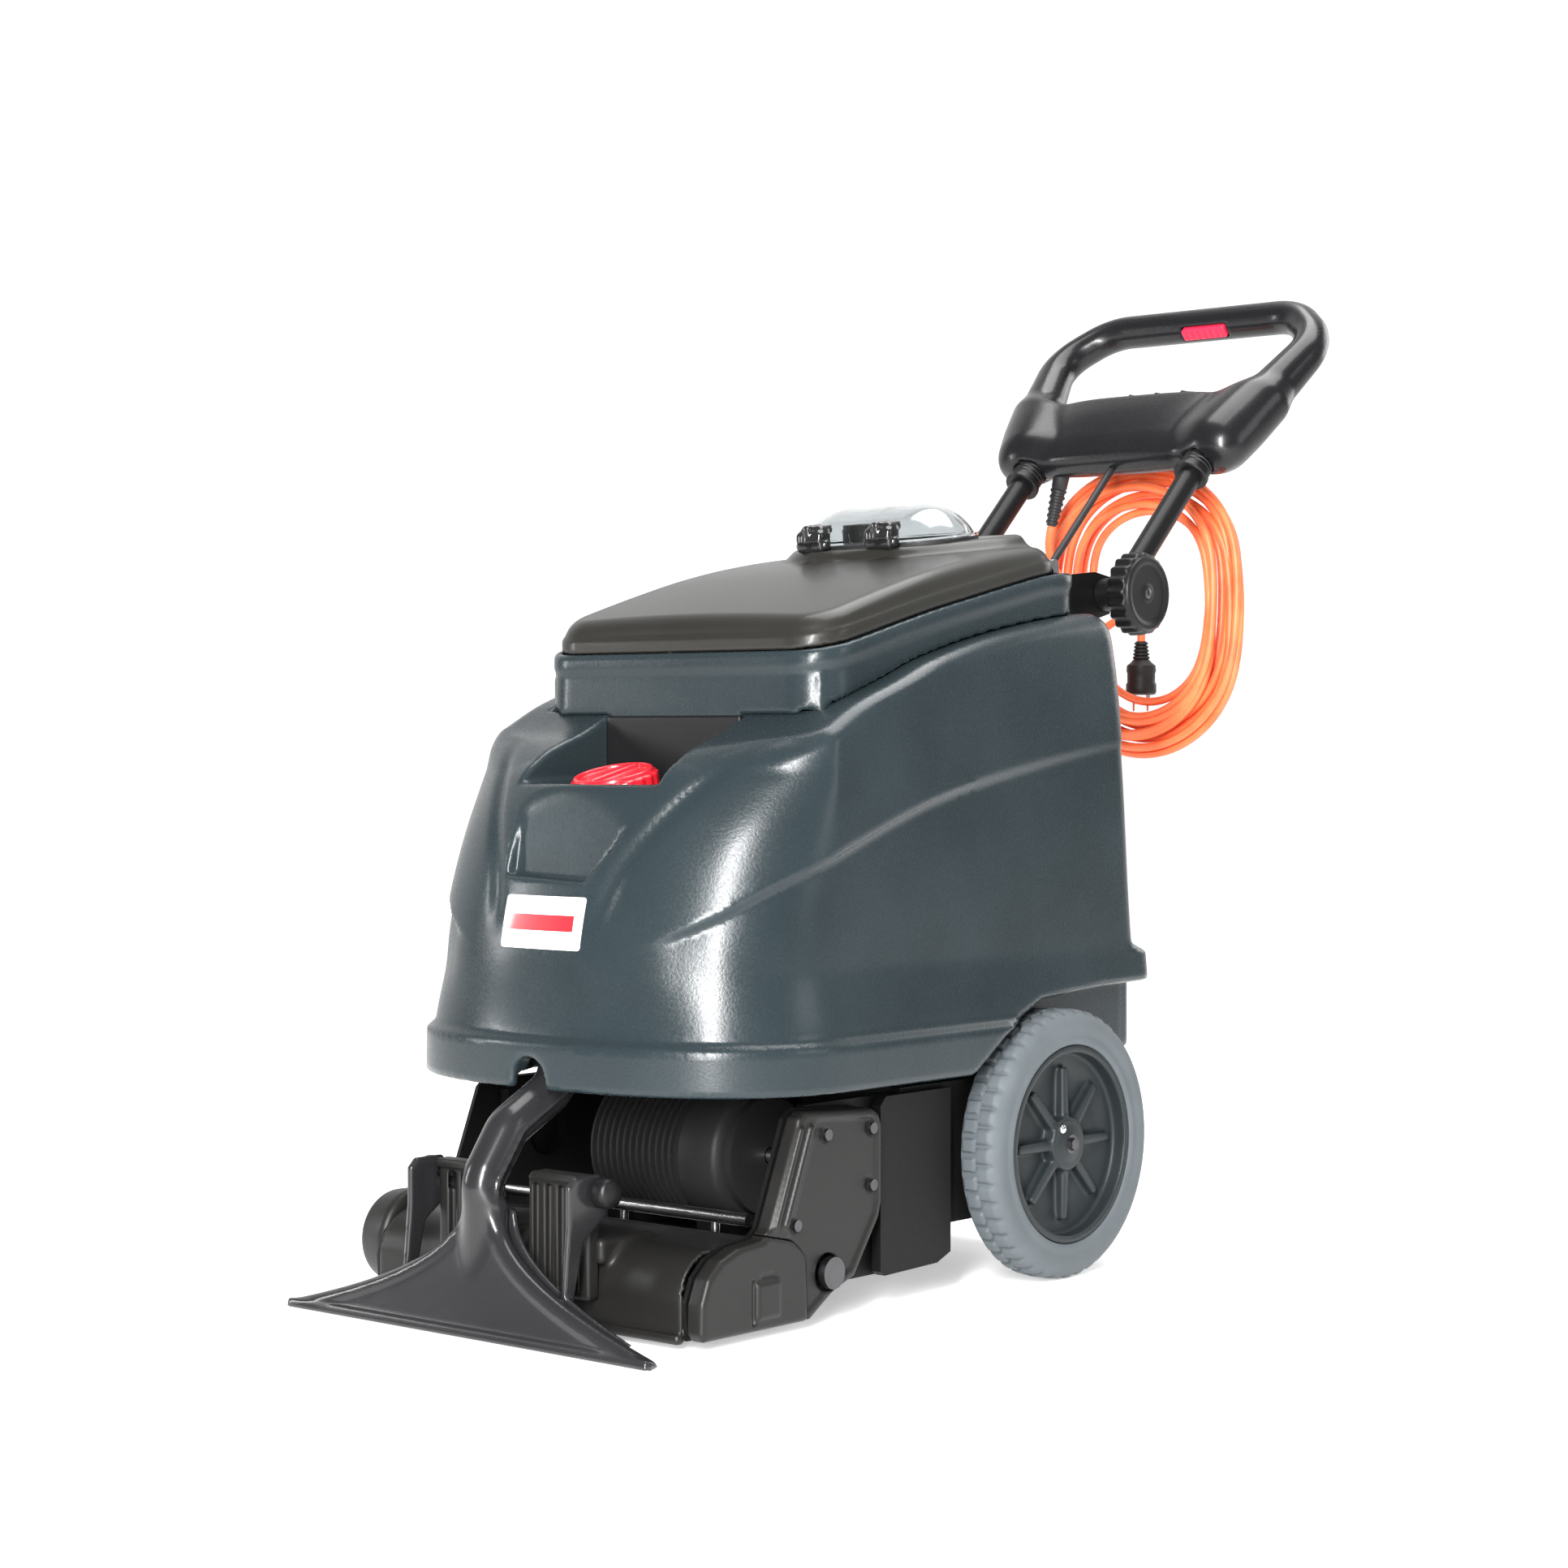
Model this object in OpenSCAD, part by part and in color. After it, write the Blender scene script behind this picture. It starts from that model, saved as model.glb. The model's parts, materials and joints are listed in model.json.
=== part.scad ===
// Walk-behind carpet cleaning machine (self-contained extractor).
// Frame: +Z up, +X to the machine's right side, the vacuum shoe is at -Y and the handle at +Y.
// The origin is on the floor, in the middle of the machine's length and width. Millimetres.

/* [Body] */
// Half width of the solution tank at its bottom lip
tank_half = 230; // [225:1:232]
// Wall thickness of the two moulded tanks
tank_wall = 5; // [4:0.5:8]
// Half width of the recovery tank
box_half = 177; // [174:1:178]
// Half width of the lid
lid_half = 172; // [168:1:173]

/* [Wheels] */
// Diameter of the transport wheels
wheel_d = 254; // [244:1:254]
// Width of a tyre
tyre_w = 45; // [38:1:45]
// Distance between the outer faces of the two tyres
track_out = 470; // [468:1:474]
// Radius of the wheel axle
axle_r = 8; // [6:0.5:9]

/* [Brush] */
// Radius of the brush over its bristles
brush_r = 36; // [34:1:37]
// Radius of the brush motor over its cooling ribs
motor_r = 65; // [60:1:66]
// Height that the shoe can be raised by
shoe_lift = 6; // [3:1:7]

/* [Handle] */
// Angle of the handle above the horizontal
handle_deg = 44; // [40:1:50]
// Radius of the handle tubes
tube_r = 12.5; // [10:0.5:13]
// Radius of the grip's bar
grip_r = 17; // [14:1:18]
// Half distance between the two handle tubes
tube_x = 110; // [108:1:112]

/* [Power cord] */
// Diameter of the power cord
cord_d = 9; // [8:0.5:10]

/* [Hidden] */
$fn = 48;
// clearance between parts that pass each other, running clearance on a shaft, overlap of joined solids
gap = 0.3;
run = 0.05;
lap = 0.05;

// ---- wheels and axle
axle_y = -10;
axle_z = wheel_d / 2;
tyre_out = track_out / 2;
tyre_in = tyre_out - tyre_w;
rim_r = 93;
hub_r = 26;

// ---- outlines of the body, seen from the side as [y, z]
tank_front = [[-498, 204], [-498, 243], [-490, 250], [-484, 326], [-473, 380], [-458, 430], [-442, 466],
              [-425, 484], [-390, 500]];
shoulder = [[-366, 505], [-340, 512], [-285, 541], [-225, 562], [-169, 582], [-45, 611], [73, 628],
            [112, 632]];
tank_rear = [[119, 624], [120, 488], [128, 311], [132, 302], [153, 298], [153, 204]];
seat = [[-312, 585], [-263, 596], [-205, 611], [-146, 626], [-84, 640], [-21, 654], [35, 665], [92, 670]];
lid_top = [[-306, 617], [-248, 635], [-190, 652], [-130, 668], [-68, 681], [-5, 691], [37, 696], [68, 698]];
arch = [[-170, 190], [-165, 204], [-104, 240], [-41, 266], [160, 273], [160, 190]];

// ---- the same body seen from the front, as [x, z], right half
flank = [[0, 100], [tank_half, 100], [tank_half, 243], [tank_half - 8, 250], [215, 450], [209, 540],
         [200, 600], [186, 630], [150, 645], [0, 645]];
plan_y = -330;
plan_bow = 168;
plan_power = 2.4;
rear_r = 30;
rear_y = 153;

// ---- chassis
tray = [[-186, -212, 64], [186, 132, 190]];
vent = [[30, 128, 96], [140, 133, 160]];
side_in = 186;
side_out = 196;
cheek_in = 173;
cheek_out = 183;
deck_z = 190;
tank_low = 194;
bay = [[-168, -300, 382], [168, 82, 520]];
air_pipe = [-26, 8];
air_pipe_r = 20;
pipe_at = [0, -452, 250];
pipe_lean = 44;

// ---- brush deck, turned about the pivot shaft
pivot_y = -336;
pivot_z = 46;
pivot_r = 7;
arm_in = 186;
arm_out = 190;
cover_out = 210;
brush_y = -432;
brush_z = brush_r;
motor_y = -300;
motor_z = 135;
belt_in = 193;
belt_out = 203;
motor_pulley_r = 12;
brush_pulley_r = 18;
belt_t = 4;
bearing_y = -438;
bearing_z = 44;
bearing_r = 43;

// ---- shoe
shoe_y = -582;
shoe_deg = 13.5;
neck_r = 17;
neck = [[-556, 60], [-546, 128], [-458, 216], [-458, 244]];
post_y = -519;
post_x = [20, 92];
shoe_knob_z = 125;
shoe_knob_y = -511;
ear_x = [94, 100];
ear = [[-559, 9], [-555, 25], [-548, 100], [-548, 140], [-502, 140], [-502, 104], [-530, 84], [-548, 9]];

// ---- handle
hinge_y = 240;
hinge_z = 655;
loop = [[-134, 290], [-176, 412], [-128, 457], [128, 457], [176, 412], [134, 290]];
loop_bend = 40;
switch_x = [-14, 20, 54];
switch_u = 304;
switch_n = 10;
trigger_x = [-17, 39];
lid_hinge = [80, 677];
dome_at = [0, 2, 700];
dome_tilt = 8;
dome_straight = 46;
dome_r = 50;
dome_h = 34;
clip_pin = [43, -59.5, 3];

// ---- filler
filler_at = [0, -384.5, 454];
filler_tilt = 14;
filler_r = 39;
filler_bore = 21;

// ---- power cord, hung as a hank below the control housing
hank = [[-122, 444, 484], [122, 496, 812]];
hank_band = 60;
relief_at = [-92, 405, 742];
relief_deg = 14;
relief_l = 56;
lead = [[-92, 405, 742], [-95, 405, 730], [-97, 407, 719], [-98, 411, 709], [-99, 418, 699], [-99, 426, 691],
        [-99, 434, 685.5], [-99, 441.3, 681]];
plug_at = [-46, 513, 556];

// ---------------------------------------------------------------- helpers

// Sweeps a [y, z] outline from x0 to x1
module along_x(x0, x1) translate([x0, 0, 0]) rotate([90, 0, 90]) linear_extrude(x1 - x0) children();

// Sweeps an [x, z] outline from y0 to y1
module along_y(y0, y1) translate([0, y1, 0]) rotate([90, 0, 0]) linear_extrude(y1 - y0) children();

// A round bar along X
module bar_x(y, z, r, x0, x1) translate([x0, y, z]) rotate([0, 90, 0]) cylinder(r = r, h = x1 - x0);

// A box between two corners
module block(a, b) translate(a) cube(b - a);

// Children on both sides, mirrored about the YZ plane
module both_sides() {
  children();
  mirror([1, 0, 0]) children();
}

// A flat shape with round corners of radius r
module round_rect(x0, y0, x1, y1, r) {
  translate([x0 + r, y0]) square([x1 - x0 - 2 * r, y1 - y0]);
  translate([x0, y0 + r]) square([x1 - x0, y1 - y0 - 2 * r]);
  for (x = [x0 + r, x1 - r], y = [y0 + r, y1 - r]) translate([x, y]) circle(r);
}

function step(p, i) = p[i + 1] - p[i];
function heading(v) = atan2(v[1], v[0]);
function within_half_turn(t) = t > 180 ? t - 360 : t < -180 ? t + 360 : t;
function turn(p, i) = within_half_turn(heading(step(p, i)) - heading(step(p, i - 1)));
function cut_back(p, i, bend) = i == 0 || i == len(p) - 1 ? 0 : bend * tan(abs(turn(p, i)) / 2) - lap;

// A round rod that follows flat points in the XY plane, with each corner bent to a radius.
// The straight pieces lap a little way over the bends, which are a hair thinner.
module bent_rod(p, r, bend) {
  for (i = [0 : len(p) - 2]) {
    v = step(p, i) / norm(step(p, i));
    a = p[i] + v * cut_back(p, i, bend);
    l = norm(step(p, i)) - cut_back(p, i, bend) - cut_back(p, i + 1, bend);
    if (l > 0.01) translate([a[0], a[1], 0]) rotate([0, 90, heading(v)]) cylinder(r = r, h = l);
  }
  for (i = [1 : len(p) - 2]) {
    v = step(p, i - 1) / norm(step(p, i - 1));
    s = turn(p, i) > 0 ? 1 : -1;
    a = p[i] - v * (cut_back(p, i, bend) + lap);
    c = a + s * bend * [-v[1], v[0]];
    translate([c[0], c[1], 0])
      rotate([0, 0, heading(v) - 90 * s + min(turn(p, i), 0)])
        rotate_extrude(angle = abs(turn(p, i))) translate([bend, 0]) circle(r - 0.02);
  }
}

// Puts children into the handle's own frame: +Y runs up the tubes from the pivot, +Z faces up and forwards
module on_handle() translate([0, hinge_y, hinge_z]) rotate([handle_deg, 0, 0]) children();

// Lays a rod that is drawn in the XY plane into the YZ plane
module in_yz() rotate([90, 0, 90]) children();

// ---------------------------------------------------------------- body shapes

// Half of the body's plan, as points from the front centre to the rear, shrunk by d
function plan_half(d) = concat(
  [for (a = [0 : 7.5 : 90]) [
    (tank_half - d) * pow(sin(a), 2 / plan_power),
    plan_y - (plan_bow - d) * pow(cos(a), 2 / plan_power)]],
  [for (a = [0 : 30 : 90]) [
    tank_half - rear_r + (rear_r - d) * cos(a),
    rear_y - rear_r + (rear_r - d) * sin(a)]]);
function mirrored(p) = [for (i = [len(p) - 1 : -1 : 0]) [-p[i][0], p[i][1]]];

// Tank outline from the side, shrunk by d, with its floor at z
module side_outline(d, z) {
  rear = [for (p = tank_rear) [p[0] - d, p[1]]];
  front = [for (p = tank_front) [p[0] + d, max(p[1] - d / 2, z)]];
  top = [for (p = shoulder) [p[0], p[1] - d]];
  polygon(concat(front, top, rear, [[rear_y - d, z], [front[0][0], z]]));
}

function flank_half(d) = [for (p = flank) [max(p[0] - d, 0), p[1]]];

// The outer shape of the tank, shrunk by d, with its floor at z
module tank_shape(d, z) intersection() {
  linear_extrude(700) polygon(concat(plan_half(d), mirrored(plan_half(d))));
  along_x(-tank_half, tank_half) side_outline(d, z);
  along_y(-600, 300) polygon(concat(flank_half(d), mirrored(flank_half(d))));
}

// The space of the wheel arches on both sides, outside x
module wheel_arches(x, grow) both_sides() along_x(x, tank_half + 5)
  polygon([for (p = arch) [p[0] - (p[0] < 0 ? grow : 0), p[1] + grow]]);

module solution_tank() color([0.26, 0.29, 0.31]) {
  difference() {
    union() {
      difference() {
        tank_shape(0, 204);
        wheel_arches(side_in - 1, 0);
      }
      block([-184, -211, tank_low], [184, rear_y - 12, 300]);
    }
    // the water space
    difference() {
      tank_shape(tank_wall, 224);
      wheel_arches(side_in - 1 - tank_wall, tank_wall);
      block([-174, -308, 376], [174, 90, 700]);
      pocket(tank_wall);
    }
    // the hollow under the front of the tank, inside its skirt
    intersection() {
      tank_shape(tank_wall, 150);
      block([-300, -600, 150], [300, -213, 217]);
    }
    // the bay of the recovery tank
    block(bay[0], bay[1] + [0, 0, 200]);
    // the cut-out in the skirt for the shoe's neck, and the path of the suction pipe
    along_y(-520, -470) {
      translate([0, 211]) circle(20);
      translate([-20, 190]) square([40, 21]);
    }
    translate([0, pipe_at[1], 190]) cylinder(r = 30 + gap, h = 40);
    translate(pipe_at) rotate([-pipe_lean, 0, 0]) cylinder(r = 22 + gap, h = 240);
    translate([air_pipe[0], air_pipe[1], 180]) cylinder(r = air_pipe_r + gap, h = 220);
    pocket(0);
    on_filler() translate([0, 0, -34]) cylinder(r = filler_bore + 8 + gap, h = 40);
    // the seat of the badge
    badge_shape(0.2);
  }
}

// The recess in the front of the tank around the filler; grow leaves a wall when it is kept out of the hollow
module pocket(grow) {
  intersection() {
    along_y(-540, -300)
      polygon([[-130 - grow, 512], [130 + grow, 512], [62 + grow, 366 - grow], [-62 - grow, 366 - grow]]);
    along_x(-200, 200) polygon([[-540, 360], [-458 + grow, 360], [-458 + grow, 366], [-438 + grow, 469],
                                [-438 + grow, 540], [-540, 540]]);
  }
  block([-82 - grow, -442, 469 - grow], [82 + grow, -304 + grow, 560]);
  block([-74 - grow, -431 - grow, 438 - grow], [74 + grow, -330 + grow, 480]);
}

module box_outline(d) round_rect(-box_half + d, -310 + d, box_half - d, 92 - d, 42 - d);

module recovery_tank() color([0.27, 0.30, 0.32]) difference() {
  union() {
    intersection() {
      translate([0, 0, 480]) linear_extrude(220) box_outline(0);
      along_x(-box_half, box_half)
        polygon(concat([[-312, 527.5]], [for (p = shoulder) if (p[0] > -300) p + [0, 0.5]],
                       [[92, 630.5]], [for (i = [len(seat) - 1 : -1 : 0]) seat[i]]));
    }
    block(bay[0] + [0.5, 0.5, 0.5], [bay[1][0] - 0.5, bay[1][1] - 0.5, 560]);
    intersection() {
      translate([0, 0, 505]) linear_extrude(60) box_outline(0);
      block([-81, -312, 505], [81, -304.5, 540]);
    }
  }
  // the water space, open at the top under the lid
  intersection() {
    union() {
      translate([0, 0, 530]) linear_extrude(200) box_outline(tank_wall);
      block([bay[0][0] + 6, bay[0][1] + 6, bay[0][2] + 6], [bay[1][0] - 6, bay[1][1] - 6, 560]);
    }
    block([-300, -400, 300], [300, 76, 700]);
  }
  // entry of the suction pipe in the front wall, and outlet to the fan
  translate(pipe_at) rotate([-pipe_lean, 0, 0]) cylinder(r = 22 + gap, h = 240);
  translate([air_pipe[0], air_pipe[1], 370]) cylinder(r = air_pipe_r + gap, h = 30);
}

module badge_shape(grow) intersection() {
  along_y(-498, -438) round_rect(-48 - grow, 325 - grow, 48 + grow, 371 + grow, 3);
  along_x(-60, 60) polygon([[-478 - grow, 320], [-476 + 9 * grow, 320], [-464.5 + 9 * grow, 376],
                            [-484 - grow, 376]]);
}

module badge_plate() color("white") badge_shape(0);

module on_filler() translate(filler_at) rotate([filler_tilt, 0, 0]) children();

module filler_neck() color([0.15, 0.16, 0.17]) on_filler() difference() {
  union() {
    cylinder(r = filler_bore + 4, h = 20);
    translate([0, 0, -30]) cylinder(r = filler_bore + 8, h = 30);
  }
  translate([0, 0, -31]) cylinder(r = filler_bore, h = 52);
}

module filler_cap() color("crimson") on_filler() difference() {
  union() {
    translate([0, 0, 2]) rotate_extrude()
      polygon([[0, 0], [filler_r, 0], [filler_r, 18], [filler_r - 4, 23], [0, 25]]);
    for (a = [15 : 30 : 345]) rotate([0, 0, a]) translate([filler_r - 3, -3, 3]) cube([4.5, 6, 15]);
  }
  translate([0, 0, 1]) cylinder(r = filler_bore + 4 + gap, h = 19.5);
}

// ---------------------------------------------------------------- lid and dome

module lid_outline(d) round_rect(-lid_half + d, -306 + d, lid_half - d, 68 - d, 45 - d);

// The outline between a low and a high line, which are moved up by dl and dh
function band(low, high, dl, dh) =
  concat([for (p = low) p + [0, dl]], [for (i = [len(high) - 1 : -1 : 0]) high[i] + [0, dh]]);

// The raised part of the lid's top that carries the dome, with its top face in the dome's plane
module pedestal(d, dz) {
  rise = tan(dome_tilt);
  intersection() {
    translate([0, 0, 640]) linear_extrude(120) polygon(concat(
      [for (a = [-60 : 20 : 60]) [(80 - d) * sin(a), -20 - (56 - d) * cos(a)]],
      [[128 - d, 30], [136 - d, 62 - d], [-136 + d, 62 - d], [-128 + d, 30]]));
    along_x(-150, 150) polygon([[-90, 665 + dz], [-90, dome_at[2] - rise * 92 + dz],
                                [70, dome_at[2] + rise * 68 + dz], [70, 685 + dz]]);
  }
}

module on_dome() translate(dome_at) rotate([dome_tilt, 0, 0]) children();

// A flattened dome on a long base: a cap turned at each end and swept between
module dome_solid(r, h, z0) {
  ball_r = (r * r + h * h) / (2 * h);
  module section() intersection() {
    translate([0, h - ball_r]) circle(ball_r, $fn = 64);
    translate([-r, z0]) square([2 * r, h + 1 - z0]);
  }
  for (x = [-dome_straight, dome_straight]) translate([x, 0, 0]) rotate_extrude($fn = 64) intersection() {
    section();
    translate([0, -100]) square([r + 1, 300]);
  }
  along_x(-dome_straight, dome_straight) section();
}

module stadium(r) {
  for (x = [-dome_straight, dome_straight]) translate([x, 0]) circle(r);
  translate([-dome_straight, -r]) square([2 * dome_straight, 2 * r]);
}

module lid_shell() color([0.12, 0.12, 0.11]) difference() {
  union() {
    intersection() {
      translate([0, 0, 560]) linear_extrude(160) lid_outline(0);
      along_x(-200, 200) polygon(band(seat, lid_top, 0.5, 0));
    }
    pedestal(0, 0);
    both_sides() bar_x(lid_hinge[0], lid_hinge[1], 6, 100, 135);
    both_sides() along_x(100, 135)
      polygon([[58, 676], [lid_hinge[0], 671], [lid_hinge[0] + 3, 682], [60, 692]]);
  }
  intersection() {
    translate([0, 0, 560]) linear_extrude(160) lid_outline(5);
    along_x(-200, 200) polygon(band(seat, lid_top, -5, -5));
  }
  pedestal(5, -5);
  on_dome() translate([0, 0, -40]) linear_extrude(60) stadium(dome_r - 8);
  both_sides() bar_x(lid_hinge[0], lid_hinge[1], 3 + run, 90, 140);
}

module lid_hinge_pin() color("silver") both_sides() {
  bar_x(lid_hinge[0], lid_hinge[1], 3, 88, 147);
  difference() {
    union() {
      bar_x(lid_hinge[0], lid_hinge[1], 6, 88, 99);
      bar_x(lid_hinge[0], lid_hinge[1], 6, 136, 147);
      block([88, 77, 664], [99, 86, 677]);
      block([136, 77, 664], [147, 86, 677]);
    }
    block([80, 70, 600], [150, 95, 669.5]);
  }
}

module dome_seal() color([0.05, 0.05, 0.05]) on_dome() linear_extrude(3) difference() {
  stadium(dome_r + 3);
  stadium(dome_r - 6);
}

module dome() color([0.8, 0.85, 0.9, 0.4]) on_dome() difference() {
  translate([0, 0, 3]) union() {
    dome_solid(dome_r, dome_h, 0);
    linear_extrude(3) stadium(dome_r + 3);
  }
  translate([0, 0, 3]) dome_solid(dome_r - 3, dome_h - 3, -1);
  translate([0, 0, 2.9]) linear_extrude(1) stadium(dome_r - 3);
}

// The basket that keeps the float under the air outlet, with open sides
module float_cage() color([0.1, 0.1, 0.1]) on_dome() translate([-26, 0, 0]) difference() {
  union() {
    translate([0, 0, 16]) cylinder(r = 22, h = 5);
    translate([0, 0, -42]) cylinder(r = 30, h = 4);
    for (a = [45 : 90 : 315]) rotate([0, 0, a]) translate([24, 0, -40]) cylinder(r = 2.5, h = 42);
    translate([0, 0, -2]) difference() {
      cylinder(r = 27, h = 5);
      translate([0, 0, -1]) cylinder(r = 21, h = 7);
    }
    translate([0, 0, 2.9]) difference() {
      cylinder(r = 23, h = 14);
      translate([0, 0, -1]) cylinder(r = 19, h = 13);
    }
  }
  translate([0, 0, -43]) cylinder(r = 6, h = 6);
}

module float_ball() color("orange") on_dome() translate([-26, 0, -20]) sphere(r = 17.5);

// Clips that hook over the dome's flange and turn up off it
module dome_clip_right() color([0.08, 0.08, 0.08]) on_dome() translate(clip_pin) {
  bar_x(0, 0, 2.4, -8, 8);
  block([-7, -2, -1], [7, 2, 6]);
  block([-7, -1, 4], [7, 9, 7]);
}
module dome_clip_left() mirror([1, 0, 0]) dome_clip_right();

// ---------------------------------------------------------------- chassis

module chassis_tray() color([0.10, 0.10, 0.11]) difference() {
  block(tray[0], tray[1]);
  block(tray[0] + [3, 3, 3], tray[1] - [3, 3, -1]);
  bar_x(axle_y, axle_z, axle_r, -200, 200);
  // the cooling air's vent
  block(vent[0], vent[1]);
}

module side_plate() difference() {
  union() {
    // the cheek that carries the pivot shaft in front of the tray
    along_x(cheek_in, cheek_out)
      polygon([[-352, 36], [-346, 30], [-212, 30], [-212, 190], [-340, 190], [-352, 178]]);
    // the outer plate beside the tray
    along_x(side_in, side_out)
      polygon([[-252, 34], [-246, 30], [-170, 32], [-150, 40], [-150, 190], [-244, 190], [-252, 182]]);
    block([cheek_in, -232, 68], [side_in, -212, 186]);
    block([side_in - 1, -232, 68], [side_in + 1, -212, 186]);
  }
  bar_x(pivot_y, pivot_z, pivot_r, 150, 200);
  bar_x(motor_y, motor_z, 24, 150, 185);
}

module chassis_sides() color([0.10, 0.10, 0.11]) both_sides() side_plate();

module chassis_deck() color([0.12, 0.12, 0.13]) difference() {
  block([tray[0][0], tray[0][1], deck_z], [tray[1][0], tray[1][1], tank_low]);
  translate([air_pipe[0], air_pipe[1], deck_z - 1]) cylinder(r = air_pipe_r + gap, h = 10);
  block([20, -190, deck_z - 1], [100, -120, tank_low + 1]);
}

module pivot_shaft() color("silver") {
  bar_x(pivot_y, pivot_z, pivot_r, -cover_out - 1, cover_out + 1);
  both_sides() bar_x(pivot_y, pivot_z, 14, cover_out - 4, cover_out + 3);
}

module wheel_axle() color("silver") bar_x(axle_y, axle_z, axle_r, -tyre_out + 7, tyre_out - 7);

module axle_bolts() color("silver") both_sides() {
  bar_x(axle_y, axle_z, 9, tyre_out - 7, tyre_out - 3);
  translate([tyre_out - 3, axle_y, axle_z]) rotate([0, 90, 0]) cylinder(r = 6, h = 4, $fn = 6);
}

// The wheels, drawn lying with their outer face up
module on_wheel(side) mirror([side < 0 ? 1 : 0, 0, 0]) translate([tyre_in, axle_y, axle_z])
  rotate([0, 90, 0]) children();

module tyre(side) color([0.45, 0.48, 0.50]) on_wheel(side) rotate_extrude($fn = 96) {
  difference() {
    union() {
      translate([rim_r, 3]) square([wheel_d / 2 - rim_r - 4, tyre_w - 6]);
      translate([rim_r, 0]) square([wheel_d / 2 - rim_r - 12, tyre_w]);
      translate([wheel_d / 2 - 12, 12]) square([12, tyre_w - 24]);
      for (z = [12, tyre_w - 12]) translate([wheel_d / 2 - 12, z]) circle(12);
    }
    translate([wheel_d / 2 - 1.5, tyre_w / 2 - 2]) square([5, 4]);
  }
}
module tyre_right() tyre(1);
module tyre_left() tyre(-1);

module rim(side) color([0.18, 0.20, 0.21]) on_wheel(side) difference() {
  union() {
    rotate_extrude($fn = 96) {
      translate([rim_r - 8, 2]) square([8, tyre_w - 4]);
      translate([hub_r - 4, 20]) square([rim_r - hub_r, 6]);
      square([hub_r, tyre_w - 6]);
    }
    for (a = [22.5 : 45 : 359]) rotate([0, 0, a])
      translate([hub_r - 2, -4, 25]) cube([rim_r - hub_r - 4, 8, 9]);
  }
  translate([0, 0, -1]) cylinder(r = axle_r + run, h = tyre_w + 2);
  translate([0, 0, tyre_w - 8]) cylinder(r = 12, h = 10);
}
module rim_right() rim(1);
module rim_left() rim(-1);

// ---------------------------------------------------------------- machinery inside

module vac_motor() color([0.20, 0.21, 0.22]) translate([-60, 70, tray[0][2] + 3]) rotate_extrude($fn = 64)
  polygon([[0, 0], [40, 0], [40, 10], [58, 14], [58, 52], [46, 56], [46, 96], [30, 104], [0, 104]]);

module water_pump() color([0.16, 0.17, 0.18]) translate([30, -150, tray[0][2] + 3]) {
  cube([64, 40, 10]);
  translate([0, 20, 32]) rotate([0, 90, 0]) cylinder(r = 25, h = 58);
  translate([58, 20, 32]) rotate([0, 90, 0]) cylinder(r = 30, h = 26);
  translate([71, 20, 52]) cylinder(r = 7, h = 44);
}

module suction_pipe() color([0.08, 0.08, 0.08]) {
  // from the shoe's neck up into the recovery tank
  difference() {
    union() {
      translate([0, pipe_at[1], 228]) cylinder(r = 30, h = 38);
      translate(pipe_at) rotate([-pipe_lean, 0, 0]) cylinder(r = 22, h = 230);
    }
    translate([0, pipe_at[1], 227]) cylinder(r = 27, h = 35);
    translate(pipe_at) rotate([-pipe_lean, 0, 0]) cylinder(r = 19, h = 231);
  }
  // the standpipe that takes air from the dome to the fan
  translate([air_pipe[0], air_pipe[1], deck_z - 6]) difference() {
    cylinder(r = air_pipe_r, h = 464);
    translate([0, 0, -1]) cylinder(r = air_pipe_r - 3, h = 466);
  }
}

// Dump hose of the recovery tank, clipped up the rear wall with its cap on top
module drain_hose() color([0.10, 0.10, 0.10]) translate([-150, 0, 0]) {
  difference() {
    in_yz() bent_rod([[129.5, 330], [160, 330], [160, 556]], 16, 22);
    in_yz() bent_rod([[129, 330], [160, 330], [160, 557]], 12, 22);
  }
  translate([0, 160, 556]) cylinder(r = 19, h = 16);
  difference() {
    block([-22, 128.8, 470], [22, 172, 490]);
    translate([0, 160, 460]) cylinder(r = 16 + gap, h = 40);
    block([-9, 150, 460], [9, 190, 495]);
  }
}

// ---------------------------------------------------------------- brush deck

arm_outline = [[-368, 190], [-276, 184], [-262, 172], [-262, 92], [-300, 36], [-330, 26], [-360, 8],
               [-500, 8], [-502, 40], [-494, 60], [-478, 74], [-456, 81], [-424, 84], [-414, 92],
               [-378, 182]];
module arm_plate(x0, x1) along_x(x0, x1) polygon(arm_outline);

// Two plates, the left one with a round cover over the brush's bearing
module deck_arms() color([0.11, 0.11, 0.11]) difference() {
  union() {
    both_sides() arm_plate(arm_in, arm_out);
    bar_x(bearing_y, bearing_z, bearing_r, -cover_out - 1, -arm_out + 1);
  }
  bar_x(pivot_y, pivot_z, pivot_r + run, -220, 220);
  bar_x(brush_y, brush_z, 8 + run, -arm_out - 5, 220);
  bar_x(motor_y, motor_z, 9, 0, 220);
}

// The loop of a belt round both pulleys, standing off them by g
function belt_arc(c, r, from, to) =
  [for (a = [from : (to - from) / 16 : to + 0.01]) c + r * [cos(a), sin(a)]];
module belt_outline(g) {
  low = [brush_y, brush_z];
  high = [motor_y, motor_z];
  tilt = acos((brush_pulley_r - motor_pulley_r) / norm(high - low));
  line = heading(high - low);
  polygon(concat(belt_arc(low, brush_pulley_r + g, line + tilt, line + 360 - tilt),
                 belt_arc(high, motor_pulley_r + g, line - tilt, line + tilt)));
}

module drive_belt() color([0.04, 0.04, 0.04]) along_x(belt_in, belt_out) difference() {
  belt_outline(belt_t);
  belt_outline(gap);
}

cover_split = [[-366, 0], [-366, 78], [-424, 84], [-520, 84], [-520, 0]];

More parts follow.
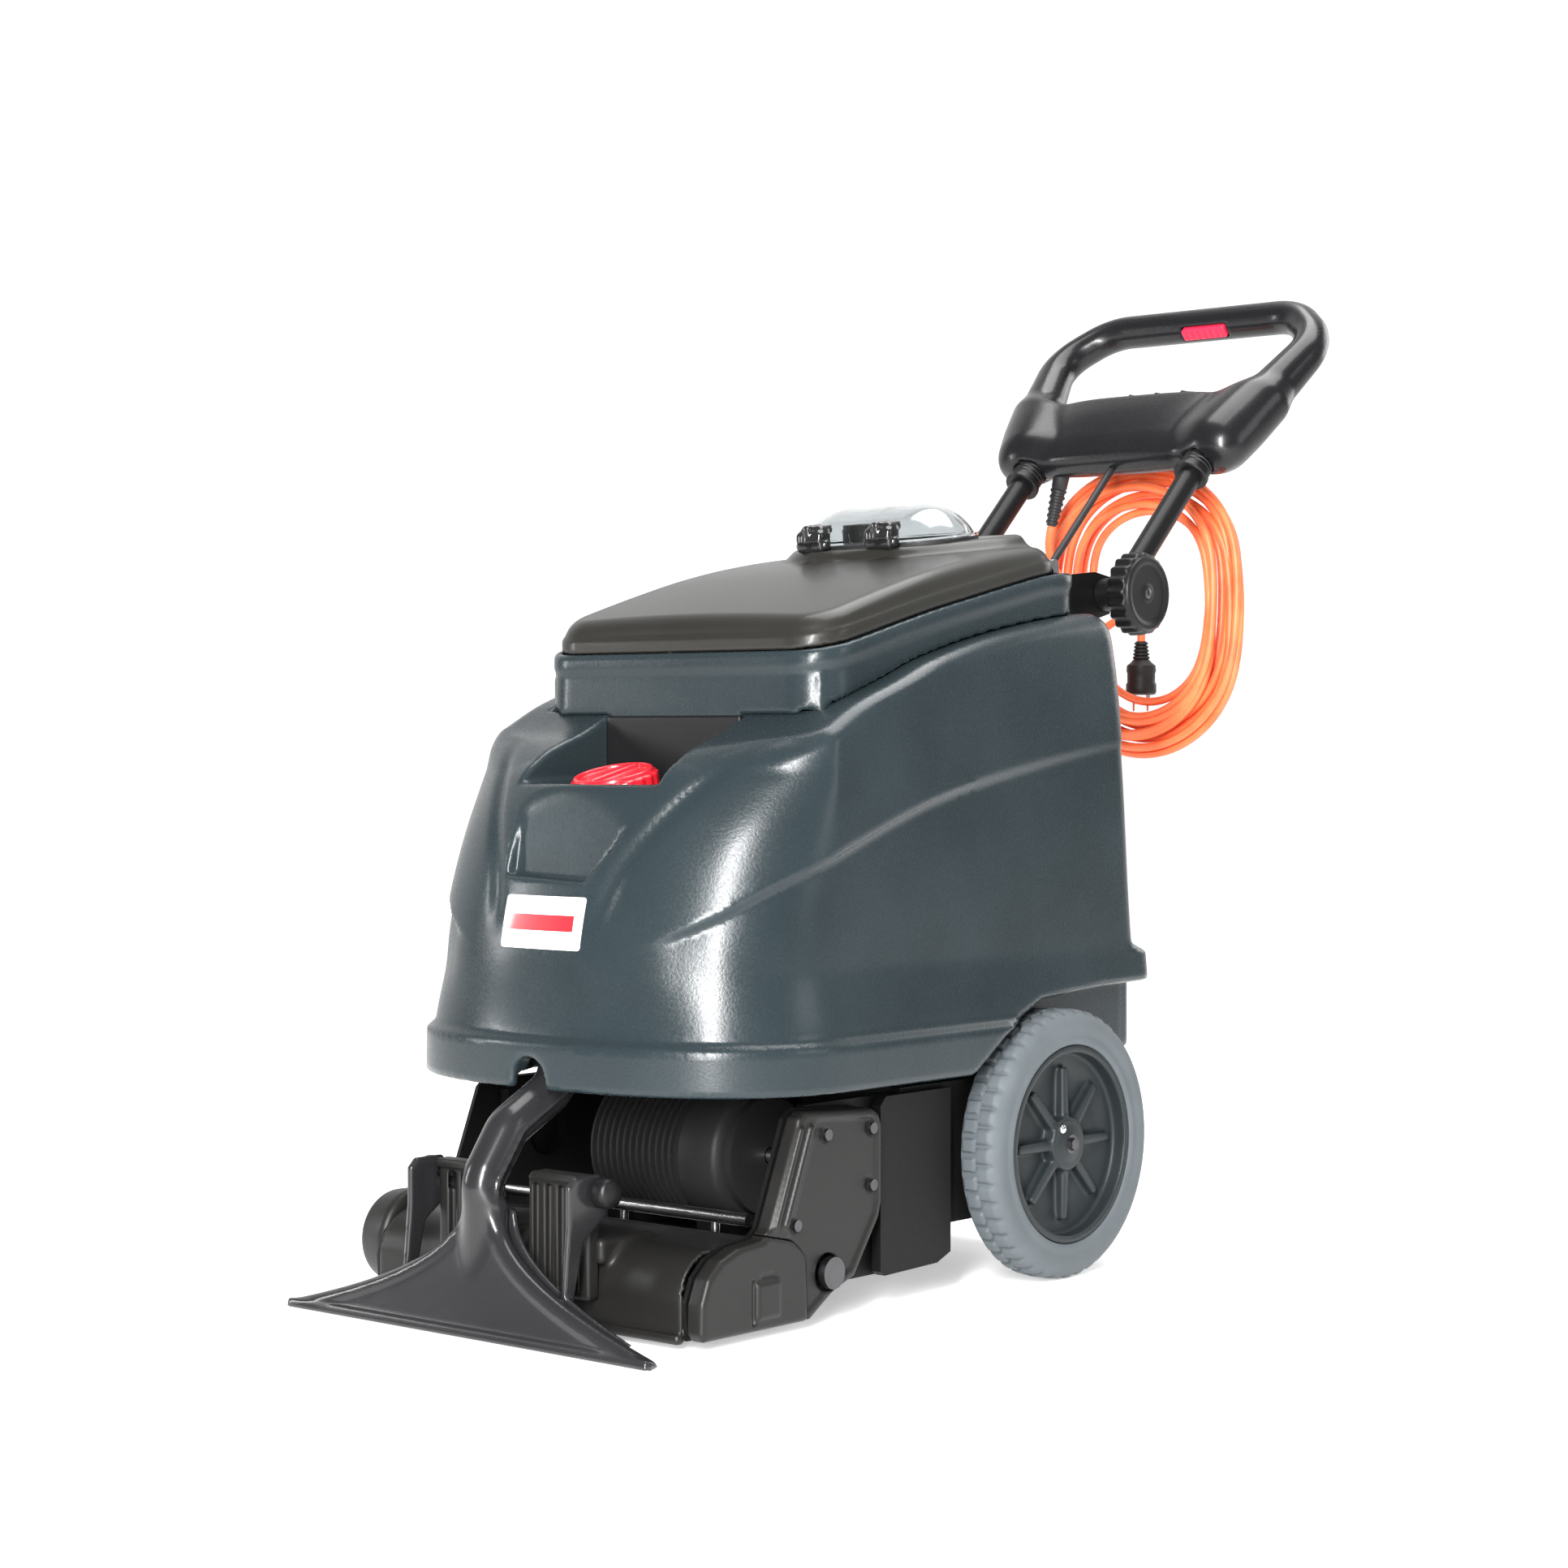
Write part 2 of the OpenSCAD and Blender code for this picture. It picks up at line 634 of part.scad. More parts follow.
module belt_cover() color([0.09, 0.09, 0.09]) difference() {
  union() {
    difference() {
      arm_plate(arm_out, cover_out - 3);
      along_x(arm_out, cover_out) polygon(cover_split);
    }
    // two raised ribs along the front edge
    for (s = [0, 14]) along_x(cover_out - 4, cover_out)
      polygon([[-378 + s, 176], [-370 + s, 176], [-404 + s, 92], [-412 + s, 92]]);
  }
  along_x(arm_out - 1, cover_out - 6) belt_outline(belt_t + 4);
  bar_x(pivot_y, pivot_z, 16, 150, 250);
}

module brush_end_cap() color([0.10, 0.10, 0.10]) difference() {
  intersection() {
    arm_plate(arm_out, cover_out - 1);
    along_x(arm_out, cover_out) polygon(cover_split);
  }
  along_x(arm_out - 1, cover_out - 5) belt_outline(belt_t + 4);
}

module cover_screws() color("silver") for (p = [[-340, 166], [-278, 166], [-278, 116], [-381, 92]])
  translate([cover_out - 3, p[0], p[1]]) rotate([0, 90, 0]) cylinder(r = 5, h = 3);

module brush_housing() color([0.11, 0.11, 0.11]) along_x(-arm_in, arm_in) difference() {
  round_rect(-503, -60, -362, 80, 44);
  round_rect(-499, -64, -366, 76, 40);
  translate([-520, -80]) square([200, 85]);
}

module motor_cradle() color([0.12, 0.12, 0.13]) difference() {
  union() {
    block([-80, -362, 58], [130, -250, 62]);
    for (x = [-50, 60]) block([x, -345, 62], [x + 20, -255, 96]);
    for (x = [-70, 110]) block([x, -362, 40], [x + 4, -358, 62]);
  }
  bar_x(motor_y, motor_z, motor_r, -100, 150);
}

module brush_motor() color([0.13, 0.13, 0.14]) difference() {
  union() {
    bar_x(motor_y, motor_z, motor_r - 4, -60, 60);
    for (x = [-56 : 7 : 50]) bar_x(motor_y, motor_z, motor_r, x, x + 3);
    bar_x(motor_y, motor_z, motor_r - 1, 54, 100);
    bar_x(motor_y, motor_z, motor_r - 12, 100, 108);
    bar_x(motor_y, motor_z, 30, -72, -60);
  }
  bar_x(motor_y, motor_z, 7 + run, 60, 120);
}

module motor_pulley() color("silver") {
  bar_x(motor_y, motor_z, 7, 62, belt_in);
  bar_x(motor_y, motor_z, motor_pulley_r, belt_in - 0.5, belt_out + 0.5);
}

module brush_pulley() color("dimgray") difference() {
  bar_x(brush_y, brush_z, brush_pulley_r, belt_in - 0.5, belt_out);
  bar_x(brush_y, brush_z, 8, belt_in - 2, belt_out + 2);
}

// Brush: a core with spiral rows of bristles, drawn as straight ridges
module brush_roller() color([0.2, 0.2, 0.22]) {
  bar_x(brush_y, brush_z, 8, -arm_out - 2, belt_out);
  bar_x(brush_y, brush_z, brush_r - 12, -180, 180);
  for (a = [0 : 45 : 315]) translate([0, brush_y, brush_z]) rotate([a, 0, 0])
    block([-180, -5, brush_r - 14], [180, 5, brush_r - 0.3]);
  for (x = [-180, -60, 60, 172]) bar_x(brush_y, brush_z, brush_r, x, x + 8);
}

module spray_bar() color([0.6, 0.6, 0.62]) {
  bar_x(-376, 90, 6, -150, 150);
  for (x = [-110, 0, 110]) translate([x, -376, 72]) cylinder(r = 4, h = 14);
}

module shoe_brackets() color([0.10, 0.10, 0.10]) both_sides() difference() {
  block([post_x[0], post_y, 30], [post_x[1], -503, 138]);
  // ribbed front and the slot of the clamping stud
  for (x = [27 : 12 : 80]) block([x, post_y - 1, 36], [x + 6, post_y + 4, 128]);
  hull() for (z = [-5, 5 + shoe_lift]) bar_x(shoe_knob_y, shoe_knob_z - 4 + z, 4.5, 72, 100);
}

// ---------------------------------------------------------------- vacuum shoe

function fan_half(z, s) = 15 + (207 - s) * pow(1 - z / 116, 2.6);
function fan(z0, s) =
  concat([[222 - s, z0]], [for (z = [0, 3, 8, 16, 26, 38, 52, 68, 86, 104]) [fan_half(z, s), z]]);
module fan_outline(s) polygon(concat(fan(-8, s), mirrored(fan(-8, s))));

module on_shoe() translate([0, shoe_y + 4 * cos(shoe_deg), 0]) rotate([90 - shoe_deg, 0, 0]) children();

module neck_tube(r) in_yz() bent_rod(neck, r, 34);

module above_floor() intersection() {
  children();
  block([-300, -700, 0], [300, 0, 400]);
}

module shoe_front() color([0.12, 0.12, 0.13]) difference() {
  above_floor() union() {
    on_shoe() linear_extrude(4) fan_outline(0);
    neck_tube(neck_r);
  }
  neck_tube(neck_r - 3);
  in_yz() bent_rod([[-458, 240], [-458, 250]], neck_r - 3, 1);
  translate([0, neck[0][0], neck[0][1] - 10]) cylinder(r = neck_r - 3, h = 12);
}

module shoe_back() color([0.10, 0.10, 0.11]) difference() {
  above_floor() union() {
    on_shoe() translate([0, 0, -18]) linear_extrude(18) fan_outline(12);
    both_sides() along_x(ear_x[0], ear_x[1]) polygon(ear);
  }
  on_shoe() translate([0, -10, -15]) linear_extrude(16) fan_outline(18);
  neck_tube(neck_r + gap);
  translate([0, neck[0][0], neck[0][1] - 12]) cylinder(r = neck_r + gap, h = 13);
  both_sides() bar_x(shoe_knob_y, shoe_knob_z, 4 + run, 90, 110);
}

module shoe_knob_right() color([0.08, 0.08, 0.08]) {
  bar_x(shoe_knob_y, shoe_knob_z, 4, 76, 102);
  bar_x(shoe_knob_y, shoe_knob_z, 13, 101, 117);
  for (a = [0 : 60 : 300]) translate([101, shoe_knob_y, shoe_knob_z]) rotate([a, 0, 0]) translate([0, 0, 12])
    rotate([0, 90, 0]) cylinder(r = 3, h = 14);
}
module shoe_knob_left() mirror([1, 0, 0]) shoe_knob_right();

// ---------------------------------------------------------------- handle

module handle_bracket() color([0.08, 0.08, 0.08]) {
  both_sides() difference() {
    along_x(84, 92)
      polygon([[126, 580], [126, 668], [226, 678], [252, 674], [260, 655], [252, 636], [228, 630],
               [150, 580]]);
    bar_x(hinge_y, hinge_z, 7.9, 60, 100);
  }
  block([-132, 120.3, 572], [132, 126.2, 666]);
  bar_x(hinge_y, hinge_z, 8, -123.5, 123.5);
  bar_x(hinge_y, hinge_z, 12, -83.9, -30);
  bar_x(hinge_y, hinge_z, 12, 30, 83.9);
}

module handle_tubes() color([0.10, 0.10, 0.10]) both_sides() difference() {
  union() {
    on_handle() translate([tube_x, 0, 0]) rotate([-90, 0, 0]) cylinder(r = tube_r, h = 225);
    bar_x(hinge_y, hinge_z, 17, 93, 121.5);
  }
  bar_x(hinge_y, hinge_z, 8 + run, 80, 130);
  on_handle() translate([tube_x, 24, 0]) rotate([-90, 0, 0]) cylinder(r = tube_r - 2, h = 210);
}

module tube_sockets() color([0.07, 0.07, 0.07]) both_sides() on_handle() translate([tube_x, 185, 0])
  rotate([-90, 0, 0]) difference() {
    union() {
      cylinder(r = 17, h = 41);
      cylinder(r = 19, h = 6);
    }
    translate([0, 0, -1]) cylinder(r = tube_r, h = 43);
  }

module handle_knob_right() color([0.06, 0.06, 0.06]) difference() {
  union() {
    bar_x(hinge_y, hinge_z, 40, 124, 149);
    bar_x(hinge_y, hinge_z, 24, 122.8, 124.5);
    for (a = [0 : 20 : 340]) translate([126, hinge_y, hinge_z]) rotate([a, 0, 0]) translate([0, 0, 38.5])
      rotate([0, 90, 0]) cylinder(r = 4, h = 20);
  }
  bar_x(hinge_y, hinge_z, 8 + run, 120, 124);
}
module handle_knob_left() mirror([1, 0, 0]) handle_knob_right();

panel_front = [[-88, 205], [88, 205], [92, 226.3], [136, 230], [156, 285], [154, 312], [-154, 312],
               [-156, 285], [-136, 230], [-92, 226.3]];
panel_side = [[205, -14], [216, -20], [300, -20], [312, -12], [312, 18], [300, 24], [226, 24], [205, 12]];

module panel_solid(d) intersection() {
  translate([0, 0, -40]) linear_extrude(80) polygon([for (p = panel_front)
    [p[0] - sign(p[0]) * d, p[1] + (p[1] < 250 ? d : p[1] > 300 ? -d : 0)]]);
  along_x(-170, 170) polygon([for (p = panel_side)
    [p[0] + (p[0] < 250 ? d : -d), p[1] + (p[1] < 0 ? d : -d)]]);
}

module control_housing() color([0.09, 0.09, 0.10]) on_handle() difference() {
  panel_solid(0);
  difference() {
    panel_solid(3);
    for (x = switch_x) block([x - 15, 296, switch_n - 10], [x + 15, 315, switch_n + 10]);
  }
  for (x = switch_x) {
    block([x - 12.5, 290, switch_n - 6.5], [x + 12.5, 320, switch_n + 6.5]);
    translate([x, switch_u, switch_n - 9]) cylinder(r = 1.5 + run, h = 18);
  }
}

module rocker(x) color([0.03, 0.03, 0.03]) on_handle() translate([x, switch_u, switch_n]) {
  translate([0, 0, -6]) linear_extrude(12) polygon([[-10, -4], [10, -4], [11, 8], [0, 10.5], [-11, 14]]);
  translate([0, 0, -8.5]) cylinder(r = 1.5, h = 17);
}
module switch_left() rocker(switch_x[0]);
module switch_middle() rocker(switch_x[1]);
module switch_right() rocker(switch_x[2]);

module grip_loop() color([0.08, 0.08, 0.08]) on_handle() difference() {
  bent_rod(loop, grip_r, loop_bend);
  block([-200, 200, -40], [200, 312.2, 40]);
  block([trigger_x[0] - 1, 420, -6], [trigger_x[1] + 1, 456, 10]);
}

module trigger() color("crimson") on_handle() block([trigger_x[0], 434, -5], [trigger_x[1], 451, 9]);

// ---------------------------------------------------------------- cables and cord

module strain_relief() color([0.05, 0.05, 0.05]) difference() {
  translate(relief_at) rotate([0, relief_deg, 0]) union() {
    cylinder(r1 = 6, r2 = 9, h = relief_l);
    for (z = [4 : 7 : 40]) translate([0, 0, z]) cylinder(r = 6.8 + z * 0.06, h = 3.5);
  }
  on_handle() block([-200, 200, -20.05], [200, 320, 60]);
}

module control_cable() color([0.10, 0.10, 0.10]) {
  difference() {
    union() {
      bar_x(hinge_y, hinge_z, 13, -10, 10);
      on_handle() translate([0, 8, 0]) rotate([-90, 0, 0]) cylinder(r = 4, h = 196.9);
    }
    bar_x(hinge_y, hinge_z, 8 + run, -20, 20);
  }
}

// A tube with flat sides that follows the points p
function tangent(p, i) = let (t = p[min(i + 1, len(p) - 1)] - p[max(i - 1, 0)]) t / norm(t);
module tube_along(p, r, sides) {
  rings = [for (i = [0 : len(p) - 1])
    let (t = tangent(p, i), u = cross(t, [0, 1, 0.2]) / norm(cross(t, [0, 1, 0.2])), v = cross(t, u))
    for (k = [0 : sides - 1]) p[i] + r * (cos(360 * k / sides) * u + sin(360 * k / sides) * v)];
  n = len(p) * sides;
  polyhedron(rings, concat(
    [[for (k = [0 : sides - 1]) k]],
    [[for (k = [sides - 1 : -1 : 0]) n - sides + k]],
    [for (i = [0 : len(p) - 2], k = [0 : sides - 1])
      [i * sides + k, (i + 1) * sides + k, (i + 1) * sides + (k + 1) % sides, i * sides + (k + 1) % sides]]));
}

module cord_lead() color("orangered") tube_along(lead, cord_d / 2, 10);

module hank_outline(d) {
  r = hank[1][0] - d;
  low = hank[0][2] + hank[1][0];
  high = hank[1][2] - hank[1][0];
  for (z = [low, high]) translate([0, z]) circle(r, $fn = 64);
  translate([-r, low]) square([2 * r, high - low]);
}

module cord_hank() color("orangered") along_y(hank[0][1], hank[1][1]) difference() {
  hank_outline(0);
  hank_outline(hank_band);
}

module mains_plug() color([0.05, 0.05, 0.05]) translate(plug_at) {
  cylinder(r = 17, h = 34);
  translate([0, 0, 34]) cylinder(r1 = 12, r2 = 7, h = 26);
  for (x = [-9.5, 9.5]) translate([x, 0, -19]) cylinder(r = 2.4, h = 19);
}

chassis_tray();
chassis_sides();
chassis_deck();
pivot_shaft();
wheel_axle();
solution_tank();
recovery_tank();
badge_plate();
filler_neck();
filler_cap();
lid_shell();
dome();
dome_seal();
float_cage();
float_ball();
dome_clip_left();
dome_clip_right();
lid_hinge_pin();
vac_motor();
water_pump();
suction_pipe();
drain_hose();
tyre_left();
tyre_right();
rim_left();
rim_right();
axle_bolts();
deck_arms();
belt_cover();
brush_end_cap();
brush_housing();
motor_cradle();
brush_motor();
motor_pulley();
drive_belt();
brush_roller();
brush_pulley();
cover_screws();
shoe_brackets();
shoe_front();
shoe_back();
shoe_knob_left();
shoe_knob_right();
handle_bracket();
handle_tubes();
tube_sockets();
handle_knob_left();
handle_knob_right();
control_housing();
grip_loop();
switch_left();
switch_middle();
switch_right();
trigger();
strain_relief();
control_cable();
cord_lead();
cord_hank();
mains_plug();
spray_bar();
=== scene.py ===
"""A walk-behind carpet cleaning machine: the visible pieces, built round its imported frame."""
import json
import math

import bpy
import numpy as np
from mathutils import Matrix, Vector


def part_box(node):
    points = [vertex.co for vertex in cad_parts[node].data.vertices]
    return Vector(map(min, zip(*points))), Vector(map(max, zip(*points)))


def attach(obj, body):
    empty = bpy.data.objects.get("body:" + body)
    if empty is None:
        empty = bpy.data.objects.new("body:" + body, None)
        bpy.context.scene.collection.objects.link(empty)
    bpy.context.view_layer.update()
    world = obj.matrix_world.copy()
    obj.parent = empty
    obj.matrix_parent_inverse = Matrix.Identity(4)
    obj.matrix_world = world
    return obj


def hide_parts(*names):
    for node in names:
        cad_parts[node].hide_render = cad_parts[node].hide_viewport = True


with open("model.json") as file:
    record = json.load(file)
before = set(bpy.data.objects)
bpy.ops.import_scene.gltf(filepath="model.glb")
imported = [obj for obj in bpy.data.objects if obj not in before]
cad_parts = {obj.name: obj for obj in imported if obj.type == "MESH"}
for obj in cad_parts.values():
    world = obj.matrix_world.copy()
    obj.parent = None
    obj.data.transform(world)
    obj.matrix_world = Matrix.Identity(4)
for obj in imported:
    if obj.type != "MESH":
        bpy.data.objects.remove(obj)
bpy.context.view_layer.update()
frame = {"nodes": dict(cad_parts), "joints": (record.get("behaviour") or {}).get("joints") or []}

MM = 0.001
RIGHT, LEFT = 1, -1


# ---------------------------------------------------------------- where things are, in millimetres

def corners(node):
    """The lowest and highest corners of a node of the frame."""
    low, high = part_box(node)
    return np.array(low) / MM, np.array(high) / MM


def joint(name):
    return next(j for j in frame["joints"] if j["name"] == name)


AXLE = np.array(joint("wheel_right_spin")["pos_m"]) / MM
BRUSH = np.array(joint("brush_spin")["pos_m"]) / MM
MOTOR = np.array(joint("motor_spin")["pos_m"]) / MM
PIVOT = np.array(joint("deck_float")["pos_m"]) / MM
HANDLE = np.array(joint("handle_fold")["pos_m"]) / MM
FILLER = np.array(joint("cap_turn")["pos_m"]) / MM
HANDLE_UP = Vector(joint("trigger_press")["axis"])
HANDLE_ANGLE = math.atan2(HANDLE_UP.z, HANDLE_UP.y)
FILLER_TILT = math.radians(14)
DOME = np.array([0, 2, 700])
DOME_TILT = math.radians(8)


# ---------------------------------------------------------------- camera and light

def look_along(azimuth, pitch):
    """Camera axes for a view that is turned from +Y to the left and pitched down, in radians."""
    ahead = Vector((-math.sin(azimuth) * math.cos(pitch), math.cos(azimuth) * math.cos(pitch),
                    -math.sin(pitch)))
    right = Vector((math.cos(azimuth), math.sin(azimuth), 0))
    return Matrix((right, right.cross(ahead), -ahead)).transposed().to_4x4()


def add_camera():
    data = bpy.data.cameras.new("camera")
    data.sensor_width = 36
    data.lens = 71.94
    camera = bpy.data.objects.new("camera", data)
    camera.matrix_world = Matrix.Translation((1.94099, -2.41553, 0.51338)) @ look_along(
        math.radians(40.6565), math.radians(0.9337))
    bpy.context.scene.collection.objects.link(camera)
    bpy.context.scene.camera = camera


def add_area_light(name, place, target, width, height, power, colour=(1, 1, 1)):
    data = bpy.data.lights.new(name, "AREA")
    data.shape = "RECTANGLE"
    data.size = width
    data.size_y = height
    data.energy = power
    data.color = colour
    lamp = bpy.data.objects.new(name, data)
    lamp.location = place
    lamp.rotation_euler = (Vector(target) - Vector(place)).to_track_quat("-Z", "Y").to_euler()
    bpy.context.scene.collection.objects.link(lamp)


def add_lights():
    middle = (0, -0.1, 0.45)
    add_area_light("key_strip", (1.75, -2.95, 1.4), middle, 0.45, 2.3, 320)
    add_area_light("left_strip", (-2.6, -2.1, 1.0), middle, 0.3, 1.2, 26)
    add_area_light("overhead", (0.1, 0.5, 3.0), middle, 2.0, 2.0, 90)
    add_area_light("side_fill", (3.4, 0.9, 1.6), middle, 1.2, 1.8, 18)
    add_area_light("rear_fill", (0.6, 3.0, 1.6), middle, 1.6, 1.6, 20)
    world = bpy.data.worlds.new("studio")
    world.use_nodes = True
    world.node_tree.nodes["Background"].inputs["Color"].default_value = (1, 1, 1, 1)
    world.node_tree.nodes["Background"].inputs["Strength"].default_value = 0.2
    bpy.context.scene.world = world
    bpy.context.scene.view_settings.view_transform = "Standard"


# ---------------------------------------------------------------- materials

class Field:
    """A shader socket that takes part in sums: each operator adds its Math node."""

    def __init__(self, finish, socket):
        self.finish = finish
        self.socket = socket

    def _math(self, operation, a, b):
        return self.finish.add("Math", {"operation": operation}, {0: a, 1: b}).out("Value")

    def __add__(self, other):
        return self._math("ADD", self, other)

    def __radd__(self, other):
        return self._math("ADD", other, self)

    def __sub__(self, other):
        return self._math("SUBTRACT", self, other)

    def __rsub__(self, other):
        return self._math("SUBTRACT", other, self)

    def __mul__(self, other):
        return self._math("MULTIPLY", self, other)

    def __rmul__(self, other):
        return self._math("MULTIPLY", other, self)

    def __gt__(self, other):
        return self._math("GREATER_THAN", self, other)

    def __lt__(self, other):
        return self._math("LESS_THAN", self, other)


class Node:
    """One shader node of a finish."""

    def __init__(self, finish, node):
        self.finish = finish
        self.node = node

    def out(self, name):
        return Field(self.finish, self.node.outputs[name])


class Finish:
    """A material under construction, with one method that adds every kind of node."""

    def __init__(self, name, colour, roughness, metallic=0.0, **constants):
        self.material = bpy.data.materials.new(name)
        self.material.use_nodes = True
        self.material.diffuse_color = (*colour, 1)
        self.nodes = self.material.node_tree.nodes
        self.links = self.material.node_tree.links
        self.shader = self.nodes["Principled BSDF"]
        self.set("Base Color", (*colour, 1))
        self.set("Roughness", roughness)
        self.set("Metallic", metallic)
        for label, value in constants.items():
            self.set(label.replace("_", " "), value)

    def add(self, kind, settings=None, inputs=None):
        node = self.nodes.new("ShaderNode" + kind)
        for key, value in (settings or {}).items():
            if key == "stops":
                for stop, (place, colour) in zip(self._stops(node, len(value)), value):
                    stop.position = place
                    stop.color = (*colour, 1) if len(colour) == 3 else colour
            else:
                setattr(node, key, value)
        for key, value in (inputs or {}).items():
            self._feed(node.inputs[key], value)
        return Node(self, node)

    @staticmethod
    def _stops(node, count):
        while len(node.color_ramp.elements) < count:
            node.color_ramp.elements.new(0.5)
        return node.color_ramp.elements

    def _feed(self, socket, value):
        if isinstance(value, Field):
            self.links.new(value.socket, socket)
        else:
            socket.default_value = value

    def set(self, label, value):
        self._feed(self.shader.inputs[label], value)

    def place(self):
        return self.add("TexCoord").out("Object")

    def noise(self, scale, detail=2.0, where=None, roughness=0.5):
        return self.add("TexNoise", {}, {"Vector": where or self.place(), "Scale": scale, "Detail": detail,
                                         "Roughness": roughness}).out("Fac")

    def stretched(self, factors):
        return self.add("VectorMath", {"operation": "MULTIPLY"}, {0: self.place(), 1: factors}).out("Vector")

    def between(self, mask, dark, light):
        """A colour between two, by a mask from 0 to 1."""
        mix = self.add("Mix", {"data_type": "RGBA"}, {0: mask, 6: (*dark, 1), 7: (*light, 1)})
        return Field(self, mix.node.outputs[2])

    def ramp(self, value, low, high):
        """0 below low and 1 above high."""
        return self.add("MapRange", {"clamp": True},
                        {"Value": value, "From Min": low, "From Max": high}).out("Result")

    def bump(self, height, distance, strength=1.0):
        node = self.add("Bump", {}, {"Height": height, "Distance": distance, "Strength": strength})
        self.set("Normal", node.out("Normal"))

    def worn_edges(self):
        """1 on outward edges and 0 on flats."""
        return self.ramp(self.add("NewGeometry").out("Pointiness"), 0.52, 0.60)


def shade(colour, factor):
    return tuple(min(c * factor, 1.0) for c in colour)


def moulded(name, colour, roughness, grain=900, depth=0.00006, spread=0.06, coat=0.0, mottle=0.12):
    """Moulded plastic: fine grain, a little mottling, and paler, smoother edges."""
    f = Finish(name, colour, roughness, Specular_IOR_Level=0.28)
    f.set("Coat Weight", coat)
    f.set("Coat Roughness", 0.12)
    fine = f.noise(grain, 3.0)
    cloud = f.noise(9, 4.0)
    edges = f.worn_edges()
    base = f.between(f.ramp(cloud, 0.3, 0.7), shade(colour, 1 - mottle), shade(colour, 1 + mottle))
    worn = f.add("Mix", {"data_type": "RGBA"}, {0: edges * 0.5, 6: base, 7: (*shade(colour, 1.9), 1)})
    f.set("Base Color", Field(f, worn.node.outputs[2]))
    f.set("Roughness", (fine - 0.5) * spread * 2 + (cloud - 0.5) * spread + roughness - edges * 0.05)
    f.bump(fine, depth)
    return f.material


# ---------------------------------------------------------------- shapes, as distances from their skin in millimetres

def smooth_line(x, xs, ys):
    """A soft curve through points, without overshoot."""
    xs, ys = np.asarray(xs, float), np.asarray(ys, float)
    widths = np.diff(xs)
    slopes = np.diff(ys) / widths
    flat = slopes[:-1] * slopes[1:] <= 0
    inner = np.where(flat, 0, 2 * slopes[:-1] * slopes[1:] / np.where(flat, 1, slopes[:-1] + slopes[1:]))
    tangents = np.concatenate([[slopes[0]], inner, [slopes[-1]]])
    x = np.clip(x, xs[0], xs[-1])
    i = np.clip(np.searchsorted(xs, x, side="right") - 1, 0, len(widths) - 1)
    t = (x - xs[i]) / widths[i]
    low, high = ys[i], ys[i + 1]
    rise = low * (1 + 2 * t) * (1 - t) ** 2 + high * t * t * (3 - 2 * t)
    return rise + widths[i] * (tangents[i] * t * (1 - t) ** 2 + tangents[i + 1] * t * t * (t - 1))


def ramp(x, low, high):
    """0 below low, 1 above high, with soft ends."""
    t = np.clip((x - low) / (high - low), 0, 1)
    return t * t * (3 - 2 * t)


def both(a, b, r=0.0):
    """Where two shapes meet, with the outer edge rounded to r."""
    if r <= 0:
        return np.maximum(a, b)
    return np.minimum(np.maximum(a, b), -r) + np.hypot(np.maximum(a + r, 0), np.maximum(b + r, 0))


def either(a, b, r=0.0):
    """Two shapes joined, with the inner corner filled to r."""
    return -both(-a, -b, r)


def without(a, b, r=0.0):
    """A shape with another cut out of it, with the cut's edge rounded to r."""
    return both(a, -b, r)


def slab(x, low, high):
    return np.maximum(low - x, x - high)


def bar(*sides, r=0.0):
    """The distance from a box that is given by its slabs, with edges rounded to r."""
    outside = sum(np.maximum(side + r, 0) ** 2 for side in sides) ** 0.5
    inside = sides[0]
    for side in sides[1:]:
        inside = np.maximum(inside, side)
    return np.minimum(inside, -r) + outside if r > 0 else np.minimum(inside, 0) + outside


def disc(u, v, r):
    return np.hypot(u, v) - r


def outline(u, v, points):
    """The distance from a closed outline, negative inside."""
    points = [(float(a), float(b)) for a, b in points]
    nearest = None
    inside = None
    for (au, av), (bu, bv) in zip(points, points[1:] + points[:1]):
        eu, ev = bu - au, bv - av
        wu, wv = u - au, v - av
        t = np.clip((wu * eu + wv * ev) / (eu * eu + ev * ev), 0, 1)
        d = (wu - t * eu) ** 2 + (wv - t * ev) ** 2
        crossing = ((av > v) != (bv > v)) & (u < eu * (v - av) / (ev if ev else 1e-9) + au)
        nearest = d if nearest is None else np.minimum(nearest, d)
        inside = crossing if inside is None else inside ^ crossing
    return np.where(inside, -1, 1) * np.sqrt(nearest)


def rod(x, y, z, a, b, ra, rb=None):
    """A round-ended rod from a to b, whose radius changes from ra to rb."""
    a, b = np.asarray(a, float), np.asarray(b, float)
    along = b - a
    wx, wy, wz = x - a[0], y - a[1], z - a[2]
    t = np.clip((wx * along[0] + wy * along[1] + wz * along[2]) / (along @ along), 0, 1)
    away = np.sqrt((wx - t * along[0]) ** 2 + (wy - t * along[1]) ** 2 + (wz - t * along[2]) ** 2)
    return away - (ra + (rb - ra) * t if rb is not None else ra)


def bent(points, bend, steps=6):
    """A line through points with each corner turned on a radius."""
    points = [np.asarray(p, float) for p in points]
    line = [points[0]]
    for before, here, after in zip(points, points[1:], points[2:]):
        inward = (before - here) / np.linalg.norm(before - here)
        onward = (after - here) / np.linalg.norm(after - here)
        half = math.acos(float(np.clip(inward @ onward, -1, 1))) / 2
        back = bend / math.tan(half)
        middle = (inward + onward) / np.linalg.norm(inward + onward) * bend / math.sin(half)
        start, end = inward * back - middle, onward * back - middle
        for i in range(steps + 1):
            mix = start * (1 - i / steps) + end * (i / steps)
            line.append(here + middle + mix / np.linalg.norm(mix) * bend)
    return line + [points[-1]]


